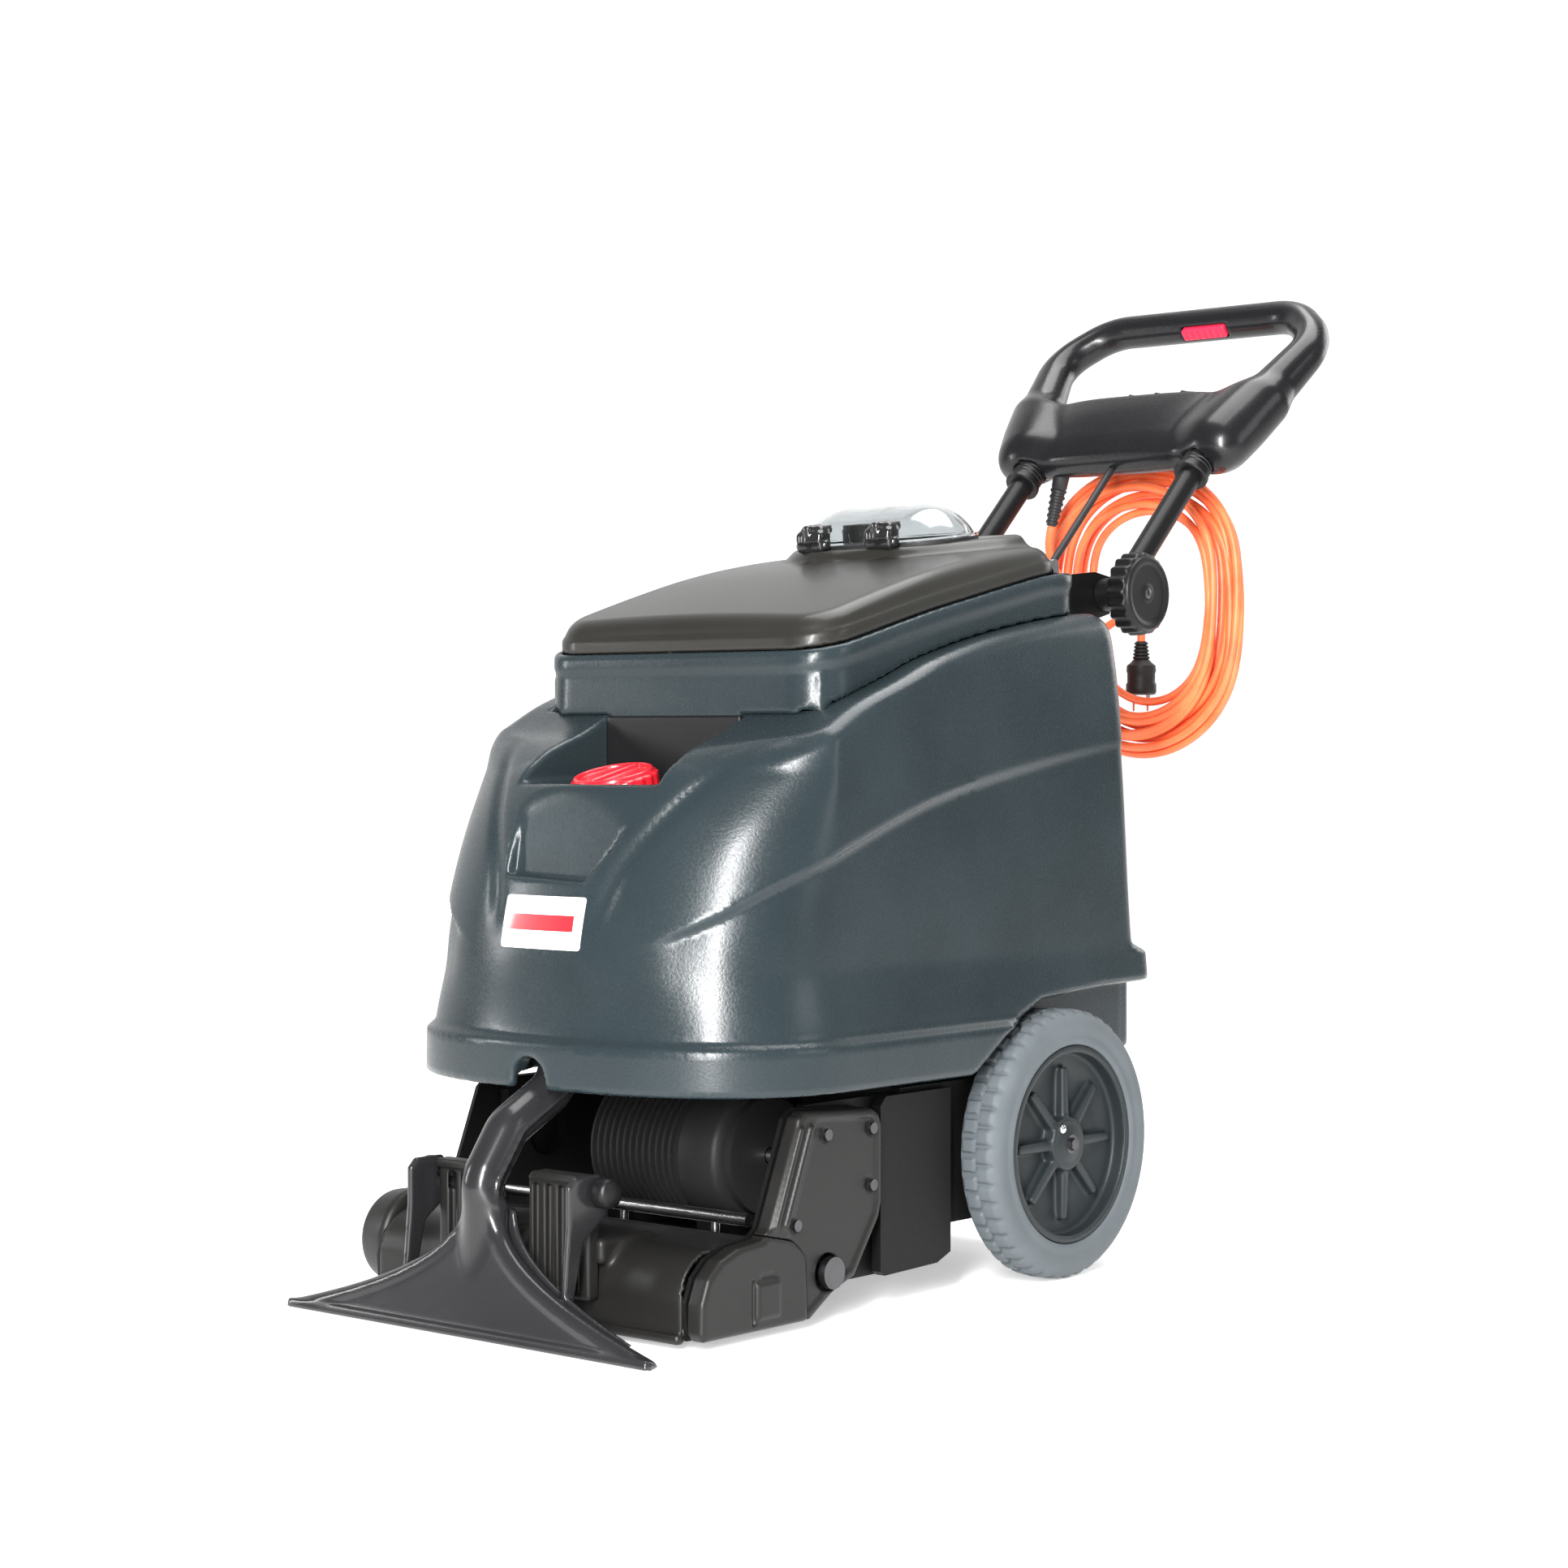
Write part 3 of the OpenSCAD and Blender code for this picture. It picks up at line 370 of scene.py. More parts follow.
def chain(x, y, z, line, radius):
    """A tube along a line of points; radius is a number or one for each point."""
    radii = radius if isinstance(radius, (list, tuple, np.ndarray)) else [radius] * len(line)
    d = None
    for a, b, ra, rb in zip(line, line[1:], radii, radii[1:]):
        piece = rod(x, y, z, a, b, ra, rb)
        d = piece if d is None else np.minimum(d, piece)
    return d


def turned(angle, u, v, centre):
    """The coordinates u and v in a frame that is turned by angle about centre."""
    c, s = math.cos(angle), math.sin(angle)
    du, dv = u - centre[0], v - centre[1]
    return du * c + dv * s, dv * c - du * s


# ---------------------------------------------------------------- meshes

def finish_mesh(name, vertices, faces, body, slot, material, replaces=(), sharp_above=180):
    """Makes a piece from vertices in millimetres and blocks of faces, and lets it ride on its body."""
    mesh = bpy.data.meshes.new(name)
    vertices = np.asarray(vertices, np.float32) * MM
    sizes = np.concatenate([np.full(len(block), block.shape[1], np.int32) for block in faces])
    mesh.vertices.add(len(vertices))
    mesh.vertices.foreach_set("co", vertices.ravel())
    mesh.loops.add(int(sizes.sum()))
    mesh.loops.foreach_set("vertex_index",
                           np.concatenate([block.ravel() for block in faces]).astype(np.int32))
    mesh.polygons.add(len(sizes))
    mesh.polygons.foreach_set("loop_start", (np.cumsum(sizes) - sizes).astype(np.int32))
    mesh.polygons.foreach_set("loop_total", sizes)
    mesh.update(calc_edges=True)
    mesh.validate()
    mesh.shade_smooth()
    mesh.set_sharp_from_angle(angle=math.radians(sharp_above))
    mesh.materials.append(material)
    piece = bpy.data.objects.new(name, mesh)
    bpy.context.scene.collection.objects.link(piece)
    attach(piece, body)
    if replaces:
        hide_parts(*replaces)
    return piece


def sample(shape, axes):
    x, y, z = axes
    values = shape(x[:, None, None], y[None, :, None], z[None, None, :])
    return np.broadcast_to(values, (len(x), len(y), len(z))).astype(np.float32)


def skin(shape, low, high, step):
    """The skin of a shape as quads: one vertex in each cell that it crosses, moved onto it."""
    steps = np.broadcast_to(np.asarray(step, float), 3)
    axes = [np.arange(a - 2.5 * s, b + 3 * s, s) for a, b, s in zip(low, high, steps)]
    values = sample(shape, axes)
    inside = values < 0
    cells = tuple(n - 1 for n in values.shape)
    total = np.zeros(cells + (3,), np.float32)
    count = np.zeros(cells, np.int8)
    faces = []
    crossings = []
    for axis in range(3):
        near = [slice(None)] * 3
        far = [slice(None)] * 3
        near[axis], far[axis] = slice(None, -1), slice(1, None)
        a, b = values[tuple(near)], values[tuple(far)]
        where = np.argwhere(inside[tuple(near)] != inside[tuple(far)])
        va, vb = a[tuple(where.T)], b[tuple(where.T)]
        point = where.astype(np.float32)
        point[:, axis] += va / (va - vb)
        crossings.append((axis, where, va < 0))
        u, v = [k for k in range(3) if k != axis]
        for du in (0, 1):
            for dv in (0, 1):
                cell = where.copy()
                cell[:, u] -= du
                cell[:, v] -= dv
                ok = (cell >= 0).all(1) & (cell < np.array(cells)).all(1)
                np.add.at(total, tuple(cell[ok].T), point[ok])
                np.add.at(count, tuple(cell[ok].T), 1)
    used = np.argwhere(count > 0)
    index = np.full(cells, -1, np.int32)
    index[tuple(used.T)] = np.arange(len(used), dtype=np.int32)
    vertices = total[tuple(used.T)] / count[tuple(used.T)][:, None]
    vertices = vertices * steps + np.array([axis[0] for axis in axes])
    for axis, where, outward in crossings:
        u, v = (axis + 1) % 3, (axis + 2) % 3
        ring = []
        for du, dv in ((1, 1), (0, 1), (0, 0), (1, 0)):
            cell = where.copy()
            cell[:, u] -= du
            cell[:, v] -= dv
            ring.append(index[tuple(cell.T)])
        quads = np.stack(ring, 1)
        quads[~outward] = quads[~outward][:, ::-1]
        faces.append(quads)
    return settle(shape, vertices, steps), [np.concatenate(faces)]


def settle(shape, vertices, steps, rounds=3):
    """Moves vertices along the shape's slope until they lie on its skin."""
    eps = float(steps.min()) * 0.15
    start = vertices.copy()
    for _ in range(rounds):
        x, y, z = vertices.T.copy()
        here = shape(x, y, z)
        slope = np.stack([shape(x + eps, y, z) - shape(x - eps, y, z),
                          shape(x, y + eps, z) - shape(x, y - eps, z),
                          shape(x, y, z + eps) - shape(x, y, z - eps)], 1) / (2 * eps)
        square = np.maximum((slope ** 2).sum(1), 0.05)
        vertices = vertices - slope * (here / square)[:, None]
        vertices = start + np.clip(vertices - start, -0.6 * steps, 0.6 * steps)
    return vertices


def solid(name, shape, low, high, step, body, slot, material, replaces=()):
    """A piece from a shape that lies between two corners."""
    vertices, faces = skin(shape, low, high, step)
    return finish_mesh(name, vertices, faces, body, slot, material, replaces)


def lathe(profile, steps, frame_of, wave=None):
    """Turns a profile of (radius, height) about an axis. It is a ring, or starts and ends on the axis.

    wave changes each ring's radii and heights."""
    profile = np.asarray(profile, float)
    capped = profile[0, 0] == 0
    ring = profile[1:-1] if capped else profile
    angles = np.arange(steps)[:, None] * math.tau / steps
    radius = np.repeat(ring[None, :, 0], steps, 0)
    height = np.repeat(ring[None, :, 1], steps, 0)
    if wave:
        radius, height = wave(angles, radius, height)
    points = frame_of(radius * np.cos(angles), radius * np.sin(angles), height).reshape(-1, 3)
    n = len(ring)
    i, j = np.meshgrid(np.arange(steps), np.arange(n - 1 if capped else n), indexing="ij")
    here, up = i * n + j, i * n + (j + 1) % n
    on, on_up = (i + 1) % steps * n + j, (i + 1) % steps * n + (j + 1) % n
    faces = [np.stack([here, on, on_up, up], -1).reshape(-1, 4)]
    if capped:
        poles = frame_of(np.zeros(2), np.zeros(2), profile[[0, -1], 1])
        first, last = np.arange(steps) * n, np.arange(steps) * n + n - 1
        bottom, top = np.full(steps, len(points)), np.full(steps, len(points) + 1)
        faces += [np.stack([bottom, np.roll(first, -1), first], -1),
                  np.stack([last, np.roll(last, -1), top], -1)]
        points = np.concatenate([points, poles])
    return points, faces


def along_x(centre, side=RIGHT):
    """Puts a lathe's axis along X, with its heights measured outwards from centre."""
    def place(a, b, h):
        return np.stack([side * (centre[0] + h), centre[1] + a * side, centre[2] + b], -1)
    return place


def upright(centre, lean=0.0):
    """Puts a lathe's axis along Z, leaning towards -Y."""
    c, s = math.cos(lean), math.sin(lean)

    def place(a, b, h):
        return np.stack([centre[0] + a, centre[1] + b * c - h * s, centre[2] + b * s + h * c], -1)
    return place


def sweep(line, radius, sides=16):
    """A tube along points, with a radius for each; its ends are closed."""
    line = np.asarray(line, float)
    radius = np.broadcast_to(radius, len(line))
    heading = np.gradient(line, axis=0)
    heading /= np.linalg.norm(heading, axis=1)[:, None]
    side = np.cross(heading[0], (0.3, 0.2, 1.0))
    rings = []
    for point, ahead, r in zip(line, heading, radius):
        side = side - ahead * (side @ ahead)
        side /= np.linalg.norm(side)
        over = np.cross(ahead, side)
        turn = np.arange(sides)[:, None] * math.tau / sides
        rings.append(point + r * (np.cos(turn) * side + np.sin(turn) * over))
    i, k = np.meshgrid(np.arange(len(line) - 1), np.arange(sides), indexing="ij")
    faces = np.stack([i * sides + k, i * sides + (k + 1) % sides, (i + 1) * sides + (k + 1) % sides,
                      (i + 1) * sides + k], -1).reshape(-1, 4)
    ends = np.stack([np.arange(sides)[::-1], (len(line) - 1) * sides + np.arange(sides)])
    return np.concatenate(rings), [faces, ends]


def joined(*meshes):
    """Several meshes as one."""
    vertices, faces, start = [], [], 0
    for points, blocks in meshes:
        vertices.append(points)
        faces += [block + start for block in blocks]
        start += len(points)
    return np.concatenate(vertices), faces


# ---------------------------------------------------------------- the moulded body

TANK_HALF = 230
PLAN_Y = -330
LIP_Z = (204, 243, 250)
BOX_HALF = 177
LID_HALF = 172


def shoulder_z(y):
    return smooth_line(y, [-400, -366, -340, -285, -225, -169, -45, 73, 125],
                       [492, 505, 514, 541, 562, 582, 611, 628, 632])


def seat_z(y):
    return smooth_line(y, [-312, -263, -205, -146, -84, -21, 35, 92],
                       [585, 596, 611, 626, 640, 654, 665, 670])


def lid_z(y):
    return smooth_line(y, [-306, -248, -190, -130, -68, -5, 37, 68], [617, 635, 652, 668, 681, 691, 696, 698])


def crease_z(y):
    """Height of the long crease on each flank."""
    return smooth_line(y, [-480, -440, -390, -300, -190, -65, 90, 160],
                       [322, 350, 382, 418, 453, 478, 501, 508])


def side_half(z):
    return smooth_line(z, [100, 242, 252, 450, 540, 600, 632],
                       [TANK_HALF, TANK_HALF, 222, 215, 209, 201, 190])


def loft(x, y, z, inset=0.0):
    """The outside of the tank seen from above: every level is a rounder, shallower bow."""
    half = side_half(z) - inset
    bow = smooth_line(z, [204, 242, 252, 326, 380, 430, 466, 484, 500, 506],
                      [168, 168, 160, 154, 143, 127, 109, 95, 79, 72]) - inset
    power = smooth_line(z, [204, 330, 400, 480], [2.4, 2.3, 2.05, 1.6])
    u = np.abs(x) / half
    v = np.maximum(PLAN_Y - y, 0) / bow
    level = (u ** power + v ** power + 1e-9) ** (1 / power)
    slope = np.hypot((u / level) ** (power - 1) / half, (v / level) ** (power - 1) / bow)
    return (level - 1) / np.maximum(slope, 1 / TANK_HALF)


def rear_y(z):
    return smooth_line(z, [200, 298, 311, 488, 632], [153, 152, 128, 120, 118])


def wheel_arch(x, y, z):
    arch = outline(y, z, [(-178, 150), (-168, 196), (-104, 238), (-41, 264), (60, 271), (220, 274),
                          (220, 150)])
    return both(arch, 184 - np.abs(x), 4)


def filler_pocket(x, y, z):
    """The hollow in the hood: a sloping front wall below and a well for the cap behind it."""
    front = outline(x, z, [(-60, 520), (-58, 388), (38, 384), (60, 412), (122, 520), (122, 600), (-60, 600)])
    wall_y = smooth_line(z, [366, 469, 480], [-459, -439, -437])
    cut = both(front, y - wall_y, 2)
    well = bar(slab(x, -84, 84), slab(y, -470, -308), slab(z, 468, 620), r=4)
    floor = both(disc(x, y + 384.5, 45.5), slab(z, 439, 520), 4)
    return either(either(cut, well, 2), floor, 2)


def tank_shape(x, y, z):
    skin_d = loft(x, y, z)
    # the flank above the crease stands proud, and fades out towards the rear
    above = ramp(z - crease_z(y), -4, 5)
    swell = ramp(np.abs(x), 85, 140) * ramp(y, -484, -440) * (1 - 0.7 * ramp(y, -200, 120))
    skin_d = skin_d + 5.6 * (1 - above) * swell * ramp(z, 252, 310)
    # a groove beside the pocket, and the roll between them
    reach = np.abs(x) - smooth_line(z, [330, 384, 440, 505], [58, 72, 104, 150])
    groove = np.exp(-(reach / 10.0) ** 2) * ramp(z, 330, 375) * (1 - ramp(z, 470, 520))
    skin_d = skin_d + 4.0 * groove
    body = both(skin_d, z - shoulder_z(y), 17)
    body = both(body, (y - rear_y(z)), 28)
    body = both(body, LIP_Z[0] - z, 3)
    body = without(body, wheel_arch(x, y, z), 4)
    lower = bar(slab(x, -184, 184), slab(y, -211, 141), slab(z, 194, 300), r=6)
    body = either(body, lower, 3)
    hollow = both(both(loft(x, y, z, 10), z - 217, 3), y + 213, 6)
    body = without(body, hollow, 2)
    bay = bar(slab(x, -168, 168), slab(y, -300, 82), slab(z, 382, 720), r=6)
    body = without(body, bay, 2)
    body = without(body, filler_pocket(x, y, z), 4)
    pipe_v, pipe_w = turned(math.radians(-44), y, z, (-452, 250))
    body = without(body, both(disc(x, pipe_v, 23), slab(pipe_w, 0, 250)))
    body = without(body, both(disc(x, y + 452, 31), z - 232))
    notch = either(disc(x, z - 211, 20), both(slab(x, -20, 20), z - 211))
    return without(body, both(notch, y + 470), 3)


def plan_of_box(x, y, half, front, rear, r):
    return bar(slab(x, -half, half), slab(y, front, rear), r=r)


def recovery_shape(x, y, z):
    """The recovery tank: a round-cornered box that tapers upwards, over a bay in the solution tank."""
    taper = (z - 600) * 0.03
    rim = 2.5 * ramp(z - seat_z(y), -20, -12)
    outer = plan_of_box(x, y, BOX_HALF - 2.5, -308, 92, 40) + taper * ramp(-y, 150, 300) - rim
    floor = np.maximum(shoulder_z(y) + 0.6, 527.5)
    upper = both(both(outer, z - seat_z(y), 4), floor - z, 1)
    lower = bar(slab(x, -167, 167), slab(y, -299, 81), slab(z, 383, 570), r=6)
    front = bar(slab(x, -81, 81), slab(y, -309, -304.8), slab(z, 506, 545), r=1)
    body = either(either(upper, lower, 1), front, 1)
    inner = plan_of_box(x, y, BOX_HALF - 8, -302, 78, 36)
    inner = either(both(inner, 532 - z, 4),
                   bar(slab(x, -161, 161), slab(y, -293, 75), slab(z, 389, 640), r=8), 3)
    body = without(body, inner, 2)
    pipe_v, pipe_w = turned(math.radians(-44), y, z, (-452, 250))
    body = without(body, both(disc(x, pipe_v, 22.5), slab(pipe_w, -40, 250)))
    return without(body, both(disc(x + 26, y - 8, 20.5), z - 420))


def pedestal_top(y):
    return DOME[2] + (y - DOME[1]) * math.tan(DOME_TILT)


def pedestal(x, y, z):
    """The raised seat of the dome on the lid."""
    wide = smooth_line(y, [-78, -70, -50, -20, 20, 62], [10, 44, 78, 104, 124, 132])
    sides = (np.abs(x) - wide) * 0.8
    return both(both(both(sides, slab(y, -76, 60), 14), z - pedestal_top(y), 7), 650 - z)


def lid_shape(x, y, z):
    plan = plan_of_box(x, y, LID_HALF, -306, 68, 43)
    crown = 5 * (x / LID_HALF) ** 2
    top = z - lid_z(y) + crown
    height = z - seat_z(y)
    skirt = plan + 3.5 * ramp(height, 11, 17) + 0.22 * np.maximum(height - 17, 0)
    body = both(both(skirt, top, 13), 0.6 - height, 1.5)
    body = either(body, pedestal(x, y, z), 12)
    knuckles = both(disc(y - 80, z - 677, 6.2), slab(np.abs(x), 100, 135), 1)
    lugs = both(outline(y, z, [(56, 677), (80, 671), (83, 682), (58, 690)]), slab(np.abs(x), 100, 135), 1)
    body = either(either(body, lugs, 2), knuckles, 1)
    inner = both(skirt + 10, top + 11, 8)
    body = without(body, inner)
    u, w = turned(DOME_TILT, y, z, (DOME[1], DOME[2]))
    stadium = np.hypot(np.maximum(np.abs(x) - 46, 0), u) - 42
    body = without(body, both(stadium, slab(w, -60, 40)))
    return without(body, both(disc(y - 80, z - 677, 3.2), slab(np.abs(x), 90, 140)))


def cap_shape(x, y, z):
    """The screw cap in its own frame: scalloped skirt, raised rim and a grip bar across a dished top."""
    r = np.hypot(x, y)
    scallop = 0.8 * np.cos(np.arctan2(y, x) * 20)
    skirt = both(r - 39.5 + scallop, slab(z, 2, 21), 1.5)
    dish = both(r - 36.5, slab(z, 10, 25.5), 2.5)
    dish = without(dish, both(r - 31.5, 21.5 - z, 2), 1.5)
    grip = bar(slab(x, -5, 5), slab(y, -31, 31), slab(z, 12, 26.5), r=3)
    body = either(either(skirt, dish, 2), grip, 2)
    return without(body, both(r - 29, slab(z, -4, 12), 1))


def pocket_shade_shape(x, y, z):
    """A dark plate at the back of the pocket, below the recovery tank: painted shade for the recess there that falls
    dark.
    """
    return bar(slab(x, -83, 83), slab(y, -313, -306.5), slab(z, 469, 529), r=1.5)


def clip_shape(x, y, z):
    """One latch in the dome's own frame, about its pin: a hook over the flange and a finger tab."""
    hook = bar(slab(x, -12, 12), slab(y, -7, 6), slab(z, -4, 11), r=3)
    tab = both(both(slab(x, -10, 10), outline(y, z, [(-8, 4), (-2, 15), (12, 15), (12, 10), (2, 4)]), 3),
               -1 - z)
    pin = both(disc(y + 1, z - 1, 3.4), slab(x, -14, 14), 1)
    rib = bar(slab(x, -3, 3), slab(y, -9, 8), slab(z, 2, 16), r=2)
    return either(either(either(hook, tab, 3), pin, 1), rib, 2)


def badge_shape(x, y, z):
    return both(bar(slab(x, -48, 48), slab(z, 325, 371), r=3), np.abs(loft(x, y, z)) - 1.6, 0.8)


def build_body():
    low, high = corners("solution_tank")
    solid("solution_tank_shell", tank_shape, low, high, (4.6, 4.6, 4.2), "chassis", "tank_plastic",
          TANK_PLASTIC,
          ["solution_tank"])
    low, high = corners("recovery_tank")
    solid("recovery_tank_shell", recovery_shape, low, high, 4.2, "chassis", "tank_plastic", TANK_PLASTIC,
          ["recovery_tank"])
    low, high = corners("lid_shell")
    solid("lid_moulding", lid_shape, low, high, (3.4, 3.4, 2.6), "lid", "lid_plastic", LID_PLASTIC,
          ["lid_shell"])
    vertices, faces = skin(cap_shape, (-43, -43, 0), (43, 43, 28), 1.4)
    cap = upright(FILLER, FILLER_TILT)(*vertices.T)
    finish_mesh("filler_cap_moulding", cap, faces, "cap", "red_plastic", CAP_RED, ["filler_cap"])
    # a dark plate that paints the shade at the back of the filler pocket
    solid("pocket_shade_plate", pocket_shade_shape, (-83, -313, 469), (83, -306.5, 529), 2.4, "chassis", "black_plastic",
          COLLAR_BLACK)
    for side, name in ((RIGHT, "right"), (LEFT, "left")):
        vertices, faces = skin(clip_shape, (-14, -10, -4), (14, 13, 17), 1.3)
        seat = (DOME[0] + side * 43, DOME[1] - 59.5, DOME[2] + 3)
        vertices *= 1.35
        turn = turned(-DOME_TILT, vertices[:, 1] - 61.5, vertices[:, 2] + 4.5, (0, 0))
        points = np.stack([vertices[:, 0] + seat[0], turn[0] + DOME[1], turn[1] + DOME[2]], -1)
        finish_mesh("dome_latch_" + name, points, faces, "clip_" + name, "black_plastic", CLIP_BLACK,
                    ["dome_clip_" + name])
    low, high = corners("badge_plate")
    solid("badge", badge_shape, low - (4, 14, 4), high + (4, 14, 4), 1.2, "chassis", "badge", BADGE_PRINT,
          ["badge_plate"])


# ---------------------------------------------------------------- wheels

TYRE_R = 127
RIM_R = 93
TYRE_W = 45
HUB_R = 26
SPOKES = 8
TREAD_BLOCKS = 44


def tyre_profile():
    """The tyre's section as (radius, distance out from its inner face)."""
    crown = [(TYRE_R - 0.9 * ((h - 22.5) / 14) ** 2, h) for h in np.linspace(8.5, 36.5, 15)]
    outer_wall = [(122.5, 40.5), (118, 43.4), (113, 44.6), (108, 44.2), (104, 43.4), (101.5, 43.6),
                  (99, 44.4),
                  (96, 44.4), (94, 43.2), (93.2, 41)]
    inner_wall = [(r, TYRE_W - h) for r, h in outer_wall[::-1]]
    return inner_wall + crown + outer_wall


def tread(angle, radius, height):
    """Cuts a middle groove and staggered cross grooves into the crown."""
    on_crown = radius > 124.5
    row = np.where(height > TYRE_W / 2, 0.5, 0.0)
    block = (angle * TREAD_BLOCKS / math.tau + row) % 1
    cross = ramp(np.abs(block - 0.5), 0.30, 0.40)
    middle = 1 - ramp(np.abs(height - TYRE_W / 2), 1.0, 2.2)
    return radius - 3.2 * on_crown * np.maximum(cross, middle), height + 0 * angle


def rim_shape(x, y, z):
    """The rim with its axis along z, measured outwards from the tyre's inner face."""
    r = np.hypot(x, y)
    ring = both(bar(slab(r, RIM_R - 7, RIM_R), slab(z, 2, 43), r=1.5), -z)
    web = slab(r, 10, RIM_R - 4)
    web = both(web, slab(z, 19, 25 + 3 * ramp(r, 60, 86)))
    hub = both(r - HUB_R + 0.05 * (z - 20), slab(z, 1, 39), 2.5)
    cap = both(r - 17, slab(z, 30, 42.5 - 0.012 * r * r), 2)
    angle = np.arctan2(y, x) * SPOKES / math.tau
    across = (angle - np.round(angle)) * math.tau / SPOKES * np.maximum(r, 1)
    spoke = both(both(np.abs(across) - 5.5 + 0.02 * r, slab(r, 18, 72), 2), slab(z, 22, 36.5 - 0.035 * r),
                 1.8)
    body = either(either(ring, web, 3), either(either(hub, spoke, 2.5), cap, 1.5), 2.5)
    return without(body, r - 8.2 + 20 * ramp(z, 28, 30))


def build_wheel(side, name):
    body = "wheel_" + name
    centre = np.array([corners("tyre_right")[0][0], AXLE[1], AXLE[2]])
    place = along_x(centre, side)
    tyre = lathe(tyre_profile(), TREAD_BLOCKS * 9, place, tread)
    finish_mesh("tyre_" + name + "_tread", *tyre, body, "tyre_rubber", TYRE_RUBBER, ["tyre_" + name], 38)
    vertices, faces = skin(rim_shape, (-94, -94, 0), (94, 94, 45), 2.3)
    finish_mesh("rim_" + name + "_moulding", place(*vertices.T), faces, body, "rim_plastic", RIM_PLASTIC,
                ["rim_" + name])
    screw = [(0, -2), (4.4, -2), (4.4, 1), (3.6, 2.4), (2, 3.0), (0, 3.1)]
    spot = centre + (39.5, -12.5, 15)
    finish_mesh("hub_screw_" + name, *lathe(screw, 20, along_x(spot, side)), body, "steel", BRIGHT_STEEL)


# ---------------------------------------------------------------- brush deck

COVER_X = 207


def arm_plan(y, z):
    """The side plate of the brush deck."""
    return outline(y, z, [(-366, 189), (-276, 184), (-266, 178), (-262, 168), (-262, 100), (-266, 86),
                          (-300, 38), (-330, 27),
                          (-360, 8), (-498, 8), (-503, 14), (-502, 40), (-494, 60), (-478, 74), (-456, 82),
                          (-424, 85), (-414, 93), (-376, 183)])


def split_line(y, z):
    """Negative on the side of the brush end cap."""
    edge = smooth_line(z, [0, 60, 78, 90, 200], [-366, -368, -384, -424, -430])
    return (y - edge) * 0.8


def cover_shape(x, y, z):
    plate = both(both(arm_plan(y, z) + 0.5, slab(x, 190, COVER_X), 4), -split_line(y, z) + 1, 1.5)
    lean = (y + 378) - (z - 176) * 0.405
    for offset in (4, 17):
        rib = both(both(np.abs(lean - offset) * 0.93 - 2.6, slab(z, 92, 176), 2), slab(x, 200, 210.5), 2)
        plate = either(plate, rib, 2)
    for y0, z0 in SCREWS:
        plate = without(plate, both(disc(y - y0, z - z0, 5.6), 203.6 - x), 1)
    recess = both(arm_plan(y, z) + 9, 205.4 - x)
    plate = without(plate, both(recess, 26 - lean, 2), 1)
    plate = without(plate, both(disc(y - PIVOT[1], z - PIVOT[2], 16.5), 180 - x), 1)
    return without(plate, both(arm_plan(y, z) + 6, slab(x, 180, 201)), 0.5)


SCREWS = [(-340, 166), (-278, 166), (-278, 116), (-381, 92)]


def end_cap_shape(x, y, z):
    plate = both(both(arm_plan(y, z) + 0.3, slab(x, 190, 209), 4.5), split_line(y, z) + 1, 1.5)
    latch = bar(slab(x, 200, 211.5), slab(y, -434, -404), slab(z, 18, 50), r=2.5)
    plate = either(plate, latch, 1)
    slot = bar(slab(x, 206, 220), slab(y, -439, -435), slab(z, 14, 52), r=1)
    plate = without(plate, slot, 0.8)
    plate = without(plate, bar(slab(x, 208, 220), slab(y, -428, -410), slab(z, 52, 56), r=1), 0.6)
    return without(plate, both(arm_plan(y, z) + 5, slab(x, 180, 203)), 0.5)


def brush_housing_shape(x, y, z):
    ridge = 1.6 * np.exp(-((y + 402) / 3.0) ** 2) + 1.6 * np.exp(-((y + 372) / 4.0) ** 2)
    outer = both(bar(slab(y, -503, -362), slab(z, -60, 80), r=42) - ridge * (z > 40), slab(x, -186, 186), 2)
    inner = bar(slab(y, -499.5, -365.5), slab(z, -64, 76.5), r=39)
    shell = without(outer, both(inner, slab(x, -183, 183)), 0.5)
    rail = bar(slab(y, -508, -500), slab(z, 5, 13), slab(x, -186, 186), r=2)
    for side in (RIGHT, LEFT):
        shell = either(shell, bar(slab(side * x, 14, 98), slab(y, -507, -440), slab(z, 62, 84), r=5), 6)
    return both(either(shell, rail, 2), 5 - z)


def motor_profile():
    """Half section of the brush motor along its shaft, with ring fins, as (radius, x)."""
    line = [(8, -72), (30, -72), (31, -61), (56, -60), (59, -57)]
    for x in np.arange(-54, 50, 8.0):
        line += [(60.5, x), (64.4, x + 0.8), (64.8, x + 2), (64.4, x + 3.2), (60.5, x + 4)]
    line += [(60, 52), (63.6, 54), (64, 58), (64, 92), (61, 97), (54, 100), (53, 107), (50, 108), (8, 108)]
    return [(r, x) for r, x in line]


def post_shape(x, y, z):
    """A bracket that holds the shoe: a ribbed post with a flat top."""
    x = np.abs(x)
    body = bar(slab(x, 20, 92), slab(y, -517, -503), slab(z, 32, 136), r=3)
    top = bar(slab(x, 18, 94), slab(y, -519.5, -502), slab(z, 130, 138), r=2.5)
    corner = (25 - x) + (z - 132)
    body = either(both(body, corner - 4, 3), both(top, corner - 4, 3), 1)
    for centre in (30, 45, 60, 75):
        body = without(body, bar(slab(x, centre - 4.5, centre + 4.5), slab(y, -530, -511), slab(z, 38, 127),
                                 r=2), 1)
    slot = bar(slab(x, 70, 100), slab(y, -515.5, -506.5), slab(z, 112, 136), r=2)
    foot = bar(slab(x, 24, 88), slab(y, -512, -503), slab(z, 30, 40), r=2)
    return without(either(body, foot, 2), both(slot, 76 - x))


def shoe_axes(y, z):
    """Distance up the shoe's face, and out of it."""
    c, s = math.cos(SHOE_LEAN), math.sin(SHOE_LEAN)
    dy = y - SHOE_FOOT
    return dy * s + z * c, z * s - dy * c


